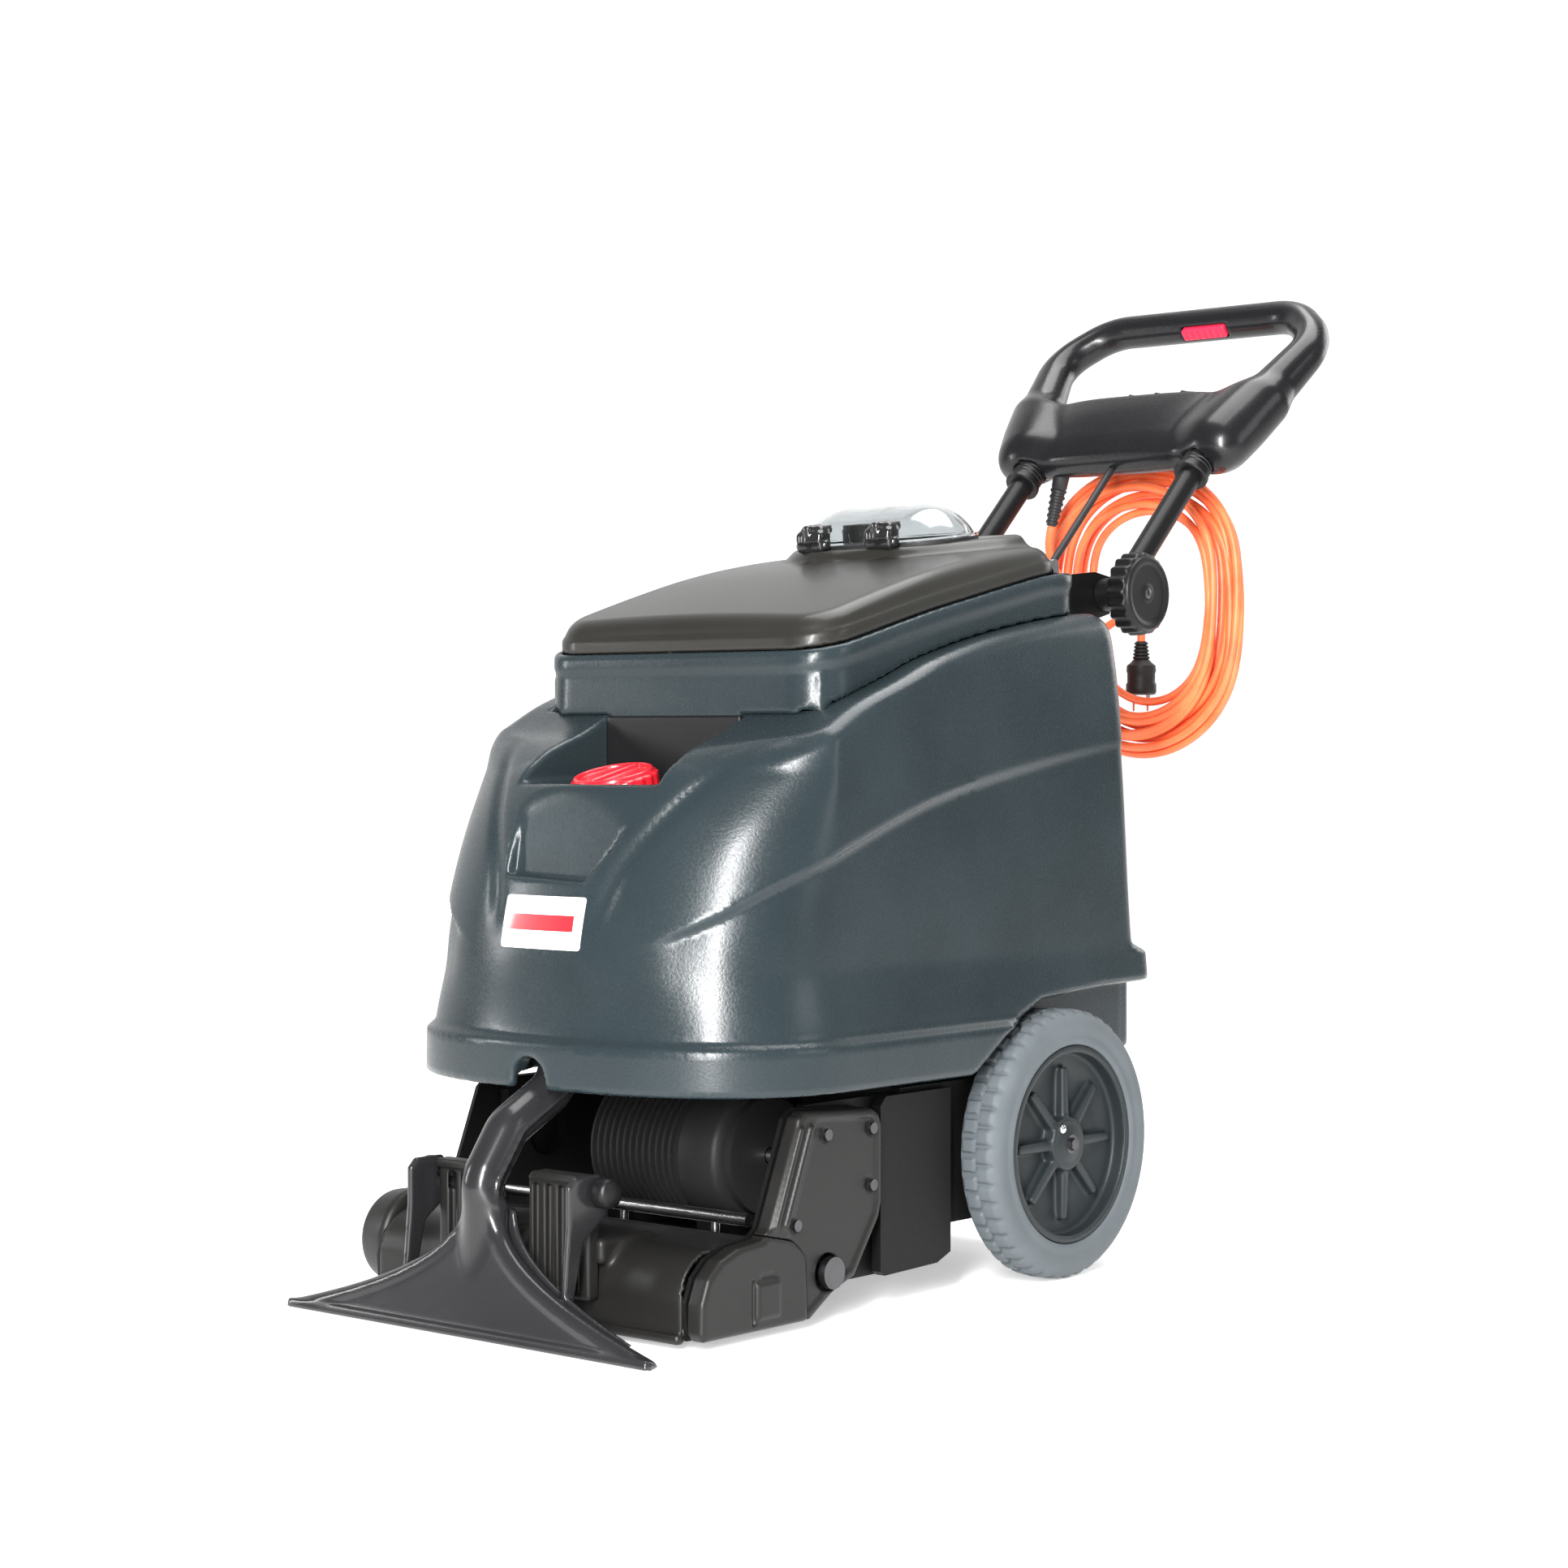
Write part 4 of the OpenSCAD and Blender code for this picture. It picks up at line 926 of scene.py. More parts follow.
SHOE_LEAN = math.radians(13.5)
SHOE_FOOT = -578.1
NECK_R = 17
NECK = bent([(0, -550, 25), (0, -554, 128), (0, -522, 172), (0, -458, 206), (0, -458, 244)], 30, 8)
NECK_WIDTH = [float(np.interp(p[2], [25, 84, 112, 140], [2, 9, 16, NECK_R + 2])) for p in NECK]
NECK_LOW = [(0, -566, 30)] + NECK


def fan_edge(x, s, inset):
    """Distance outside the flank of the fan, whose half width falls off up the shoe."""
    t = np.clip(1 - s / 116, 0.0, 1.05)
    half = 16 + 206 * t ** 2.15 - inset * np.minimum(1, 0.35 + t)
    slope = 206 * 2.15 / 116 * t ** 1.15
    return (np.abs(x) - half) / np.sqrt(1 + slope ** 2)


def neck_seam(x, y, z):
    """The flat flange along both sides of the neck."""
    d = None
    for a, b in zip(NECK_LOW, NECK_LOW[1:]):
        along = np.subtract(b, a)[1:]
        wy, wz = y - a[1], z - a[2]
        t = np.clip((wy * along[0] + wz * along[1]) / (along @ along), 0, 1)
        away = np.hypot(wy - t * along[0], wz - t * along[1])
        d = away if d is None else np.minimum(d, away)
    return both(both(np.abs(x) - NECK_R - 4.5, d - 1.8, 1.4), z - 238)


def shoe_front_shape(x, y, z):
    s, n = shoe_axes(y, z)
    plate = both(both(fan_edge(x, s, 2), slab(n, -6, 3.4), 1.5), slab(s, -8, 118), 1)
    # the flank is a rounded band that runs up into the neck
    roll = np.hypot(np.maximum(fan_edge(x, s, 7), -8), n + 4.5) - 8.5
    roll = both(both(roll, slab(s, -2, 116), 4), np.abs(x) - 220, 4)
    lip = bar(slab(np.abs(x) + 0 * s, -1, 220), slab(s, -4, 7), slab(n, -2, 5.4), r=2)
    tube = both(chain(x, y, z, NECK, NECK_WIDTH), z - 243.5, 1)
    body = either(either(plate, roll, 3), lip, 3)
    body = either(body, tube, 16)
    body = either(body, neck_seam(x, y, z), 2)
    bore = chain(x, y, z, NECK[-3:] + [(0, -458, 260)], NECK_R - 3)
    return both(without(body, bore, 1), -z, 0.5)


def shoe_back_shape(x, y, z):
    s, n = shoe_axes(y, z)
    core = both(both(fan_edge(x, s, 16), slab(n, -18, -4), 2), slab(s, -4, 112), 2)
    flange = both(both(fan_edge(x, s, -15), slab(n, -22, -16), 2.5), slab(s, 14, 112), 3)
    flange = both(flange, np.abs(x) - 186, 3)
    body = either(core, flange, 3)
    body = either(body, both(chain(x, y, z, NECK_LOW[:6], [16] + [19] * 5), (n + 2)), 5)
    mouth = both(both(fan_edge(x, s, 24), slab(n, -15, -2.5)), slab(s, -20, 70))
    body = without(body, mouth, 1)
    ear = both(outline(y, z, [(-559, 9), (-555, 25), (-548, 100), (-548, 132), (-540, 140), (-510, 140),
                              (-502, 132),
                              (-502, 104), (-530, 84), (-548, 9)]), slab(np.abs(x), 94, 100), 2)
    body = either(body, ear, 2)
    body = without(body, both(disc(y + 511, z - 125, 4.3), slab(np.abs(x), 90, 110)))
    return both(body, 0.3 - z, 0.5)


def build_deck():
    solid("belt_cover_moulding", cover_shape, *corners("belt_cover"), (1.9, 2.4, 2.4), "deck",
          "black_plastic",
          DECK_PLASTIC, ["belt_cover"])
    solid("brush_end_cap_moulding", end_cap_shape, *corners("brush_end_cap"), (1.9, 2.2, 2.2), "deck",
          "black_plastic", DECK_PLASTIC, ["brush_end_cap"])
    solid("brush_housing_moulding", brush_housing_shape, *corners("brush_housing"), (3.6, 2.2, 2.2), "deck",
          "black_plastic", DECK_PLASTIC, ["brush_housing"])
    centre = np.array([0, MOTOR[1], MOTOR[2]])
    finish_mesh("brush_motor_casing", *lathe(motor_profile(), 96, along_x(centre)), "deck", "motor_casing",
                MOTOR_PAINT, ["brush_motor"], 40)
    solid("shoe_posts", post_shape, *corners("shoe_brackets"), 2.0, "deck", "black_plastic", DECK_PLASTIC,
          ["shoe_brackets"])
    solid("left_bearing_cover", end_bearing_shape, (-233, -496, 0), (-189, -400, 96), 2.4, "deck",
          "black_plastic", DECK_PLASTIC)
    for side, name in ((RIGHT, "right"), (LEFT, "left")):
        knob = [(0, 76), (4, 76), (4, 101), (11, 101), (13.4, 103), (13.4, 111), (12, 115), (8, 116.6),
                (0, 117)]
        place = along_x(np.array([0, -511, 125]), side)
        finish_mesh("shoe_clamp_" + name, *lathe(knob, 40, place), "shoe_knob_" + name, "black_plastic",
                    COLLAR_BLACK, ["shoe_knob_" + name], 50)
    low, high = corners("shoe_front")
    solid("shoe_front_moulding", shoe_front_shape, low - 4, high + 4, (3.0, 2.4, 2.4), "shoe", "gloss_black",
          SHOE_PLASTIC, ["shoe_front"])
    low, high = corners("shoe_back")
    solid("shoe_back_moulding", shoe_back_shape, low - 4, high + 4, (3.0, 2.4, 2.4), "shoe", "gloss_black",
          SHOE_PLASTIC, ["shoe_back"])


def brush_meshes():
    """The core of the brush and its spiral rows of bristle tufts."""
    centre = np.array([0, BRUSH[1], BRUSH[2]])
    half, core_r = 180, 23
    core = lathe([(0, -half), (core_r, -half), (core_r + 1, -half + 2), (core_r + 1, half - 2),
                  (core_r, half),
                  (8, half), (8, half + 24), (0, half + 24)], 64, along_x(centre))
    shaft = lathe([(0, -192), (8, -192), (8, -178), (0, -178)], 32, along_x(centre))
    tufts = []
    sides, rows, count = 6, 8, 45
    ring = np.arange(sides) * math.tau / sides
    for row in range(rows):
        for i in range(count):
            x = -half + 5 + i * (2 * half - 10) / (count - 1)
            turn = math.tau * (row / rows + 0.35 * i / count)
            out = np.array([0, math.cos(turn), math.sin(turn)])
            side = np.array([0, -out[2], out[1]])
            levels = [(core_r - 1, 2.0), (core_r + 4, 2.4), (BRUSH[2] - 1.2, 3.6), (BRUSH[2] - 0.4, 2.2)]
            points = [centre + (x, 0, 0) + out * r + w * (np.cos(a) * np.array([1, 0, 0]) + np.sin(a) * side)
                      for r, w in levels for a in ring]
            walls = np.array([(k + j * sides, (k + 1) % sides + j * sides, (k + 1) % sides + (j + 1) * sides,
                               k + (j + 1) * sides) for j in range(len(levels) - 1) for k in range(sides)])
            ends = np.array([range(sides)[::-1], range((len(levels) - 1) * sides, len(levels) * sides)])
            tufts.append((np.array(points), [walls, ends]))
    return joined(core, shaft), joined(*tufts)


def end_bearing_shape(x, y, z):
    """The round cover over the brush's bearing on the left."""
    r = np.hypot(y + 448, z - 48)
    cover = both(r - 47 + 0.05 * np.maximum(-x - 190, 0) ** 1.3, slab(x, -230, -189), 9)
    return either(cover, both(r - 15, slab(x, -233, -210), 2), 2)


def build_brush():
    core, tufts = brush_meshes()
    finish_mesh("brush_core", *core, "brush", "bristle", DECK_PLASTIC, ["brush_roller"], 40)
    finish_mesh("brush_tufts", *tufts, "brush", "bristle", BRISTLE, (), 30)


# ---------------------------------------------------------------- handle

TUBE_X = 110
SWITCH_U, SWITCH_N = 304, 10
SWITCHES = {"left": -14, "middle": 20, "right": 54}
TRIGGER_X = (-17, 39)
LOOP = [(-124, 238, 2), (-148, 310, 2), (-170, 404, 0), (-122, 455, 0), (122, 455, 0), (170, 404, 0),
        (148, 310, 2),
        (124, 238, 2)]


def handle_point(x, u, n):
    """A point from the handle's own frame: u runs up the tubes from the pivot and n faces up and forwards."""
    c, s = math.cos(HANDLE_ANGLE), math.sin(HANDLE_ANGLE)
    return np.stack(np.broadcast_arrays(x, HANDLE[1] + u * c - n * s, HANDLE[2] + u * s + n * c), -1)


def handle_solid(name, shape, low, high, step, body, slot, material, replaces=()):
    """A piece whose shape is given in the handle's own frame."""
    vertices, faces = skin(shape, low, high, step)
    finish_mesh(name, handle_point(*vertices.T), faces, body, slot, material, replaces)


def head_shape(x, u, n):
    """The grip loop and the control housing, which flow into each other."""
    line = bent(LOOP, 58, 10)
    loop = chain(x, u, n, line, [18.5 + 8 * (1 - ramp(p[1], 250, 440)) for p in line])
    # the housing is a pillow: widest above its middle and thickest near its top
    half = smooth_line(u, [200, 212, 232, 262, 300, 318], [84, 110, 126, 134, 130, 124])
    thick = smooth_line(u, [200, 215, 240, 275, 305, 318], [9, 17, 24, 27, 25, 18])
    level = ((np.abs(x) / half) ** 3.4 + (np.abs(n - 2) / thick) ** 2.3 + 1e-9) ** (1 / 2.6)
    pillow = both((level - 1) * thick * 0.9, slab(u, 206, 304), 8)
    body = either(pillow, loop, 30)
    for centre in SWITCHES.values():
        well = bar(slab(x, centre - 12.5, centre + 12.5), slab(u, 296, 340),
                   slab(n, SWITCH_N - 6.5, SWITCH_N + 6.5), r=1)
        body = without(body, well, 0.8)
    slot = bar(slab(x, TRIGGER_X[0] - 1.2, TRIGGER_X[1] + 1.2), slab(u, 400, 456), slab(n, -6, 10), r=1.5)
    body = without(body, slot, 1)
    for side in (RIGHT, LEFT):
        body = without(body, both(disc(side * x - TUBE_X, n, 17.3), u - 225))
    return body


def rocker_shape(x, u, n):
    """One rocker switch, about its pin."""
    top = smooth_line(x, [-11, 0, 11], [13.6, 10.2, 8.4])
    key = both(both(slab(x, -10.8, 10.8), slab(u, -4, top), 1.5), slab(n, -5.8, 5.8), 1)
    pin = both(np.hypot(x, u) - 1.5, slab(n, -8.3, 8.3))
    return either(key, pin)


def trigger_shape(x, u, n):
    key = bar(slab(x, *TRIGGER_X), slab(u, 434, 451), slab(n, -5, 9), r=2.5)
    for centre in np.arange(TRIGGER_X[0] + 8, TRIGGER_X[1] - 4, 8):
        key = without(key, both(disc(x - centre, u - 432.8, 2.2), slab(n, -20, 20)), 0.6)
    return key


def socket_profile():
    line = [(12.6, 0), (17.5, 0), (19, 1.2), (19, 5.4), (17.2, 6.6)]
    for u in (10, 15, 20):
        line += [(17.2, u), (16.4, u + 0.8), (16.4, u + 2.2), (17.2, u + 3)]
    return line + [(17.2, 40), (16.6, 41), (12.6, 41)]


def up_tube(x, start):
    """Puts a lathe's axis along a handle tube, from a distance up it."""
    def place(a, b, h):
        return handle_point(x + a, start + h, -b)
    return place


def knob_shape(x, y, z):
    """A clamp knob with its axis along z: scalloped skirt and a stepped, dished face."""
    r = np.hypot(x, y)
    scallop = 1.6 * np.cos(np.arctan2(y, x) * 20)
    skirt = both(r - 40.8 - scallop * ramp(z, 26, 18), slab(z, 2, 24), 3)
    collar = both(r - 24, slab(z, 0, 8), 1)
    face = both(r - 37.5, slab(z, 10, 27 - 2.2 * (1 - ramp(r, 28, 33))), 2.2)
    hub = both(r - 9, slab(z, 10, 26), 1.5)
    body = either(either(either(skirt, face, 1.5), collar, 2), hub, 1.5)
    return without(body, both(r - 8.3, slab(z, -5, 2.2)))


def build_handle():
    handle_solid("handle_head", head_shape, (-198, 203, -30), (198, 478, 34), 3.0, "handle", "gloss_black",
                 HANDLE_PLASTIC, ["control_housing", "grip_loop"])
    for name, centre in SWITCHES.items():
        vertices, faces = skin(rocker_shape, (-11, -5, -9), (11, 14, 9), 0.9)
        points = handle_point(vertices[:, 0] + centre, vertices[:, 1] + SWITCH_U, vertices[:, 2] + SWITCH_N)
        finish_mesh("rocker_" + name, points, faces, "switch_" + name, "gloss_black", SWITCH_BLACK,
                    ["switch_" + name])
    handle_solid("trigger_key", trigger_shape, (-17, 434, -5), (39, 451, 9), 1.2, "trigger", "red_plastic",
                 TRIGGER_RED, ["trigger"])
    sockets = []
    for side in (RIGHT, LEFT):
        sockets.append(lathe(socket_profile(), 40, up_tube(side * TUBE_X, 185)))
    finish_mesh("tube_collars", *joined(*sockets), "handle", "black_plastic", COLLAR_BLACK, ["tube_sockets"],
                35)
    for side, name in ((RIGHT, "right"), (LEFT, "left")):
        vertices, faces = skin(knob_shape, (-43, -43, 0), (43, 43, 27), 1.7)
        place = along_x(np.array([122, HANDLE[1], HANDLE[2]]), side)
        finish_mesh("clamp_knob_" + name, place(*vertices.T), faces, "knob_" + name, "black_plastic",
                    COLLAR_BLACK, ["handle_knob_" + name])
        button = [(0, 0), (6, 0), (6, 1.2), (4.5, 2.2), (0, 2.6)]
        place = along_x(np.array([146.5, HANDLE[1], HANDLE[2]]), side)
        finish_mesh("knob_button_" + name, *lathe(button, 24, place), "knob_" + name, "steel", DARK_STEEL,
                    (), 40)


# ---------------------------------------------------------------- power cord

CORD_D = 9
LEAD = [(-92, 405, 742), (-95, 405, 730), (-97, 407, 719), (-98, 411, 709), (-99, 418, 699), (-99, 426, 691),
        (-99, 435, 685), (-99, 444, 680)]
HANK_TURNS = 13
POINTS_A_TURN = 28
RELIEF_L = 56
RELIEF_LEAN = math.radians(14)


def hank_path():
    """Loose hanging turns: each goes down, round and back up inside the hank's outline."""
    low, high = corners("cord_hank")
    middle = (low + high) / 2
    half = (high - low) / 2
    draw = np.random.default_rng(7)
    drift = draw.uniform(-1, 1, (HANK_TURNS + 2, 4))
    line = []
    total = HANK_TURNS * POINTS_A_TURN
    for i in range(total + 1):
        turn = i / POINTS_A_TURN
        k, t = int(turn), turn - int(turn)
        soft = t * t * (3 - 2 * t)
        wander = drift[k] * (1 - soft) + drift[k + 1] * soft
        inward = 30 + 34 * wander[0]
        angle = math.radians(196) + math.tau * turn
        reach_x = half[0] + 12 - CORD_D / 2 - inward
        straight = half[2] - half[0]
        reach_z = half[0] - CORD_D / 2 - 1 - inward * (0.9 + 0.1 * wander[1])
        across, up = math.cos(angle), math.sin(angle)
        squeeze = 1 + 0.06 * up
        x = middle[0] - 14 + across * reach_x * squeeze + 5 * wander[2]
        z = middle[2] + up * reach_z + straight * up / math.sqrt(up * up + 0.08) + 3 * wander[3]
        y = middle[1] + (half[1] - CORD_D / 2 - 2) * max(-1,
                                                         min(1, 2 * (turn / HANK_TURNS) - 1
                                                             + 0.28 * wander[1]))
        line.append((x, y, z))
    return line


def spline(name, line, radius, material, sides=6):
    data = bpy.data.curves.new(name, "CURVE")
    data.dimensions = "3D"
    data.bevel_depth = radius * MM
    data.bevel_resolution = sides // 2
    data.resolution_u = 3
    data.use_fill_caps = True
    path = data.splines.new("NURBS")
    path.points.add(len(line) - 1)
    for point, place in zip(path.points, line):
        point.co = (*(Vector(place) * MM), 1)
    path.use_endpoint_u = True
    path.order_u = 3
    data.materials.append(material)
    piece = bpy.data.objects.new(name, data)
    bpy.context.scene.collection.objects.link(piece)
    return piece


def relief_meshes():
    """The ribbed, tapered strain relief where the cord leaves the housing."""
    line = [(0, 0), (5.6, 0)]
    for h in np.arange(2, 42, 7.0):
        r = 6.9 + h * 0.055
        line += [(5.6 + h * 0.05, h), (r, h + 0.8), (r, h + 3.2), (5.9 + h * 0.05, h + 4)]
    line += [(8.6, 43), (9, RELIEF_L), (0, RELIEF_L)]
    c, s = math.cos(RELIEF_LEAN), math.sin(RELIEF_LEAN)
    foot = np.array(LEAD[0], float)

    def place(a, b, h):
        return np.stack([foot[0] + a * c + h * s, foot[1] + b, foot[2] + h * c - a * s], -1)
    return lathe(line, 28, place)


def plug_meshes():
    """A moulded mains plug that hangs from the hank with its pins down."""
    low, high = corners("mains_plug")
    centre = np.array([(low[0] + high[0]) / 2, (low[1] + high[1]) / 2, low[2] + 19])
    shell = [(0, 0), (14, 0), (16.4, 1.4), (17, 4), (17, 12), (15.6, 14), (15.6, 24), (16.6, 27), (16, 33),
             (12, 36),
             (9.5, 39)]
    for h in np.arange(40, 58, 4.0):
        r = 9.6 - (h - 40) * 0.12
        shell += [(r - 1.6, h), (r, h + 0.8), (r, h + 2.4), (r - 1.6, h + 3.2)]
    shell += [(6, 58.5), (6, 60), (0, 60)]
    body = lathe(shell, 36, upright(centre))
    pin = [(0, -19), (1.4, -19), (2.4, -17.6), (2.4, 1), (0, 1)]
    pins = [lathe(pin, 20, upright(centre + (x, 0, 0))) for x in (-9.5, 9.5)]
    return body, joined(*pins)


def build_cord():
    hank = hank_path()
    lead = [np.array(p, float) for p in LEAD]
    line = lead[:-1] + hank
    low, high = corners("mains_plug")
    tail_top = np.array([(low[0] + high[0]) / 2, (low[1] + high[1]) / 2, high[2]])
    end = np.array(hank[-1])
    line += [end * 0.5 + (tail_top + (0, 0, 60)) * 0.5, tail_top + (0, 0, 40), tail_top + (0, 0, 18),
             tail_top + (0, 0, -6)]
    cord = spline("power_cord", line, CORD_D / 2, CORD_ORANGE)
    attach(cord, "handle")
    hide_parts("cord_lead", "cord_hank")
    body, pins = plug_meshes()
    plug = finish_mesh("plug_body", *body, "handle", "black_plastic", PLUG_BLACK, ["mains_plug"], 40)
    prongs = finish_mesh("plug_pins", *pins, "handle", "steel", BRIGHT_STEEL, (), 40)
    relief = finish_mesh("cord_relief", *relief_meshes(), "handle", "hose_rubber", HOSE_RUBBER,
                         ["strain_relief"],
                         35)


# ---------------------------------------------------------------- finishes

SLATE = (0.0145, 0.0215, 0.0245)

TANK_PLASTIC = moulded("tank_slate", SLATE, 0.27, grain=420, depth=0.00013, spread=0.12, coat=0.04)
LID_PLASTIC = moulded("lid_charcoal", (0.014, 0.0135, 0.0115), 0.38, grain=900, depth=0.00007, coat=0.12)
DECK_PLASTIC = moulded("deck_black", (0.009, 0.0086, 0.0082), 0.42, grain=700, depth=0.00008)
SHOE_PLASTIC = moulded("shoe_black", (0.014, 0.014, 0.015), 0.25, grain=1200, depth=0.00003, coat=0.25)
HANDLE_PLASTIC = moulded("handle_black", (0.008, 0.008, 0.009), 0.27, grain=1100, depth=0.00004, coat=0.12)
COLLAR_BLACK = moulded("collar_black", (0.004, 0.004, 0.0045), 0.42, grain=900, depth=0.00007)
SWITCH_BLACK = moulded("switch_black", (0.008, 0.008, 0.008), 0.30, grain=1500, depth=0.00002)
PLUG_BLACK = moulded("plug_black", (0.011, 0.011, 0.011), 0.50, grain=1200, depth=0.00005)
RIM_PLASTIC = moulded("rim_grey", (0.012, 0.0155, 0.017), 0.45, grain=800, depth=0.00008)
CAP_RED = moulded("cap_red", (0.58, 0.012, 0.022), 0.30, grain=1000, depth=0.00003, coat=0.3, mottle=0.06)
TRIGGER_RED = moulded("trigger_red", (0.62, 0.02, 0.06), 0.35, grain=1200, depth=0.00003, mottle=0.06)
FLOAT_ORANGE = moulded("float_orange", (0.70, 0.20, 0.03), 0.35, grain=1200, depth=0.00003, mottle=0.06)
CLIP_BLACK = moulded("clip_black", (0.012, 0.012, 0.012), 0.18, grain=1500, depth=0.00002, coat=0.5)


def rubber(name, colour, roughness, dust=0.35):
    """Rubber with dust in patches and fine pores."""
    f = Finish(name, colour, roughness, Specular_IOR_Level=0.35)
    pores = f.noise(1400, 2.0)
    patches = f.noise(22, 5.0)
    dusty = f.ramp(patches, 0.42, 0.75) * dust
    f.set("Base Color", f.between(dusty, colour, shade(colour, 1.55)))
    f.set("Roughness", dusty * 0.2 + (pores - 0.5) * 0.12 + roughness)
    f.bump(pores + patches * 0.4, 0.00012)
    return f.material


TYRE_RUBBER = rubber("tyre_grey", (0.078, 0.090, 0.098), 0.58)
HOSE_RUBBER = rubber("hose_black", (0.014, 0.014, 0.015), 0.48)
SEAL_RUBBER = rubber("seal_black", (0.010, 0.010, 0.010), 0.55)
BELT_RUBBER = rubber("belt_black", (0.009, 0.009, 0.009), 0.60)


def coated_steel(name, colour, roughness):
    """Powder coat: an even orange peel with fine scuffs."""
    f = Finish(name, colour, roughness, Specular_IOR_Level=0.18)
    peel = f.noise(420, 2.0)
    scuffs = f.ramp(f.noise(60, 6.0, f.stretched((1, 4, 4)), 0.7), 0.60, 0.72)
    f.set("Base Color", f.between(scuffs * 0.35, colour, shade(colour, 2.2)))
    f.set("Roughness", scuffs * 0.15 + (peel - 0.5) * 0.12 + roughness)
    f.bump(peel, 0.00012)
    return f.material


FRAME_BLACK = coated_steel("frame_black", (0.004, 0.0039, 0.0038), 0.5)
TUBE_BLACK = coated_steel("tube_black", (0.006, 0.006, 0.006), 0.34)
MOTOR_PAINT = coated_steel("motor_black", (0.012, 0.012, 0.012), 0.48)


def plated(name, colour, roughness):
    """Plated steel with fine drawn lines and light staining."""
    f = Finish(name, colour, roughness, metallic=1.0)
    lines = f.noise(500, 3.0, f.stretched((0.08, 1, 1)))
    stains = f.noise(40, 4.0)
    f.set("Base Color", f.between(f.ramp(stains, 0.45, 0.8), colour, shade(colour, 0.75)))
    f.set("Roughness", (lines - 0.5) * 0.15 + (stains - 0.5) * 0.1 + roughness)
    f.bump(lines, 0.00003)
    return f.material


BRIGHT_STEEL = plated("bright_steel", (0.66, 0.66, 0.67), 0.22)
DARK_STEEL = plated("dark_steel", (0.10, 0.10, 0.105), 0.35)


def bristles():
    f = Finish("bristle_nylon", (0.05, 0.055, 0.075), 0.5)
    strands = f.noise(900, 2.0, f.stretched((1, 0.2, 0.2)))
    f.set("Base Color", f.between(strands, (0.025, 0.028, 0.04), (0.10, 0.11, 0.15)))
    f.bump(strands, 0.0004)
    return f.material


BRISTLE = bristles()


def clear_plastic():
    """Clear moulded plastic with faint flow lines and scuffs."""
    f = Finish("dome_clear", (0.80, 0.83, 0.84), 0.06, Transmission_Weight=1.0, IOR=1.46, Coat_Weight=0.3,
               Coat_Roughness=0.05)
    scuffs = f.ramp(f.noise(90, 6.0, roughness=0.7), 0.55, 0.8)
    f.set("Roughness", scuffs * 0.12 + 0.05)
    f.bump(f.noise(35, 2.0), 0.00025)
    return f.material


DOME_CLEAR = clear_plastic()


def cord_sheath():
    """Orange cord sheath, a little duller and darker in patches."""
    f = Finish("cord_orange", (0.88, 0.20, 0.085), 0.46, Specular_IOR_Level=0.45)
    grime = f.noise(26, 4.0)
    fine = f.noise(1500, 2.0)
    f.set("Base Color", f.between(f.ramp(grime, 0.35, 0.75), (0.95, 0.18, 0.06), (0.80, 0.105, 0.03)))
    f.set("Roughness", (fine - 0.5) * 0.1 + (grime - 0.5) * 0.15 + 0.42)
    f.bump(fine, 0.00006)
    return f.material


CORD_ORANGE = cord_sheath()


def badge_print():
    """Off-white enamel with one plain red bar, set by height and width on the plate."""
    f = Finish("badge_print", (0.80, 0.80, 0.79), 0.28, Coat_Weight=0.5, Coat_Roughness=0.08)
    split = f.add("SeparateXYZ", {}, {"Vector": f.place()})
    x, z = split.out("X"), split.out("Z")
    low, high = corners("badge_plate")
    middle = float(low[2] + high[2]) / 2 * MM
    band = (z > middle - 0.007) * (z < middle + 0.007) * (x > -0.039) * (x < 0.039)
    cloud = f.noise(60, 3.0)
    paper = f.between(cloud, (0.76, 0.76, 0.75), (0.84, 0.84, 0.83))
    mix = f.add("Mix", {"data_type": "RGBA"}, {0: band, 6: paper, 7: (0.62, 0.012, 0.02, 1)})
    f.set("Base Color", Field(f, mix.node.outputs[2]))
    f.bump(cloud, 0.00003)
    return f.material


BADGE_PRINT = badge_print()

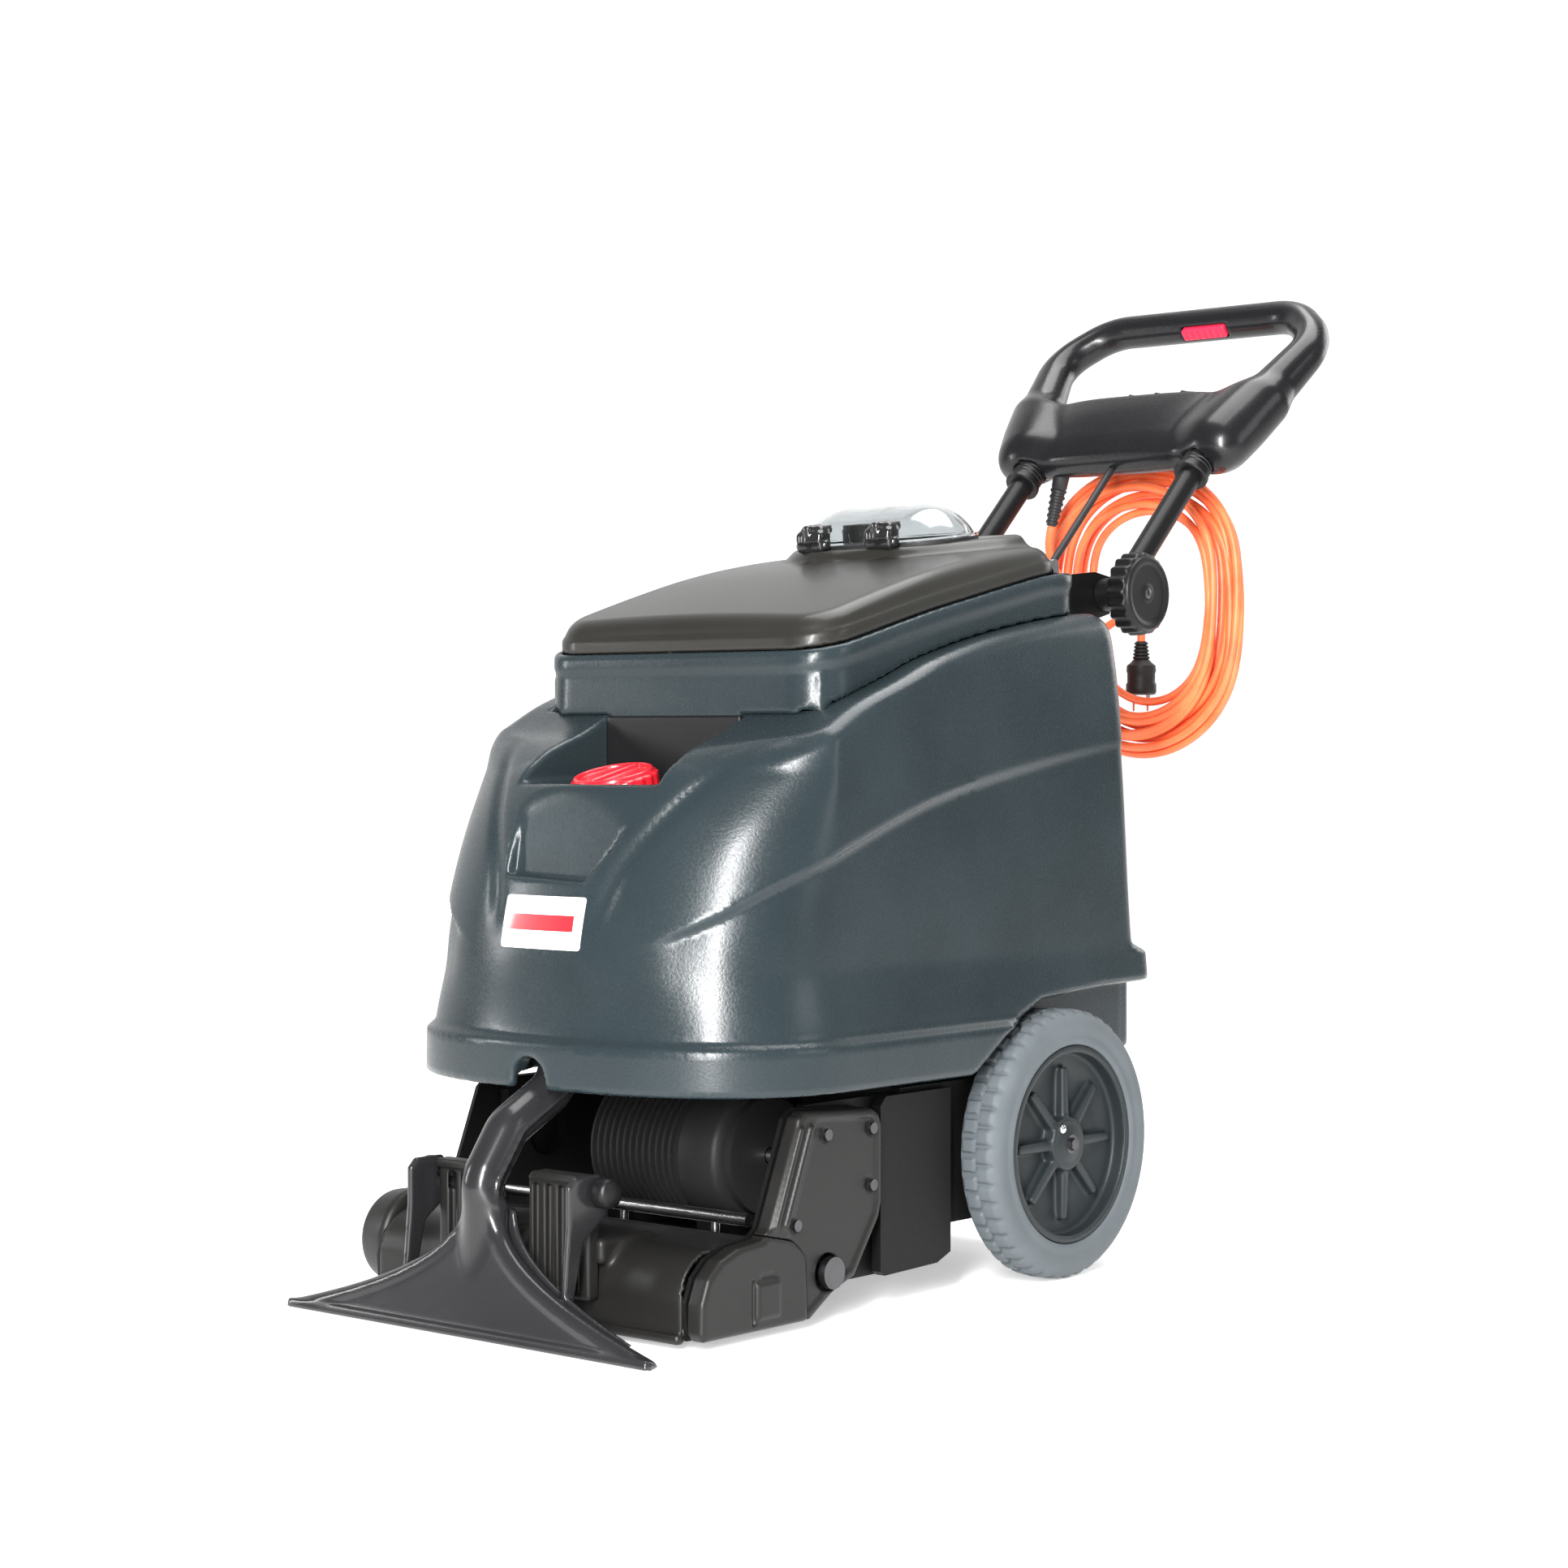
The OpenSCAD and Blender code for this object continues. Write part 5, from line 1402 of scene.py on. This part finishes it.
CARRIED = {
    "chassis_tray": FRAME_BLACK, "chassis_sides": FRAME_BLACK, "chassis_deck": FRAME_BLACK,
    "pivot_shaft": DARK_STEEL, "wheel_axle": BRIGHT_STEEL, "axle_bolts": DARK_STEEL,
           "filler_neck": COLLAR_BLACK,
    "dome": DOME_CLEAR, "dome_seal": SEAL_RUBBER, "float_cage": COLLAR_BLACK, "float_ball": FLOAT_ORANGE,
    "lid_hinge_pin": BRIGHT_STEEL,
    "vac_motor": MOTOR_PAINT, "water_pump": MOTOR_PAINT, "suction_pipe": HOSE_RUBBER,
           "drain_hose": HOSE_RUBBER,
    "deck_arms": FRAME_BLACK, "motor_cradle": FRAME_BLACK, "motor_pulley": BRIGHT_STEEL,
           "drive_belt": BELT_RUBBER,
    "brush_pulley": DARK_STEEL, "cover_screws": DARK_STEEL,
    "handle_bracket": TUBE_BLACK, "handle_tubes": TUBE_BLACK,
    "control_cable": HOSE_RUBBER, "spray_bar": BRIGHT_STEEL}


def dress_carried_nodes():
    for node, material in CARRIED.items():
        mesh = frame["nodes"][node].data
        mesh.materials.clear()
        mesh.materials.append(material)


def add_floor():
    """A pale studio sweep: the floor runs back from under the machine and turns up into a wall."""
    camera = bpy.context.scene.camera
    ahead = (camera.matrix_world.to_3x3() @ Vector((0, 0, -1))).xy.normalized()
    aside = Vector((ahead.y, -ahead.x))
    bend, far, drop = 2.5, 4.5, 0.0004
    line = [(-9.0, 0.0)] + [(far + bend * math.sin(a),
                             bend * (1 - math.cos(a))) for a in np.radians(np.arange(0, 91, 5))]
    line.append((far + bend, 12.0))
    points = [(*(ahead * u + aside * v), z - drop) for v in (-12, 12) for u, z in line]
    n = len(line)
    mesh = bpy.data.meshes.new("floor")
    mesh.from_pydata(points, [], [(i, i + 1, n + i + 1, n + i) for i in range(n - 1)])
    mesh.shade_smooth()
    finish = Finish("floor_white", (0.90, 0.90, 0.90), 0.8, Emission_Color=(1, 1, 1, 1),
                    Emission_Strength=0.44)
    finish.bump(finish.noise(60, 2.0), 0.0001)
    mesh.materials.append(finish.material)
    floor = bpy.data.objects.new("floor", mesh)
    bpy.context.scene.collection.objects.link(floor)


# ---------------------------------------------------------------- the whole machine

add_camera()
add_lights()
add_floor()
build_cord()
build_body()
build_wheel(RIGHT, "right")
build_wheel(LEFT, "left")
build_deck()
build_brush()
build_handle()
dress_carried_nodes()
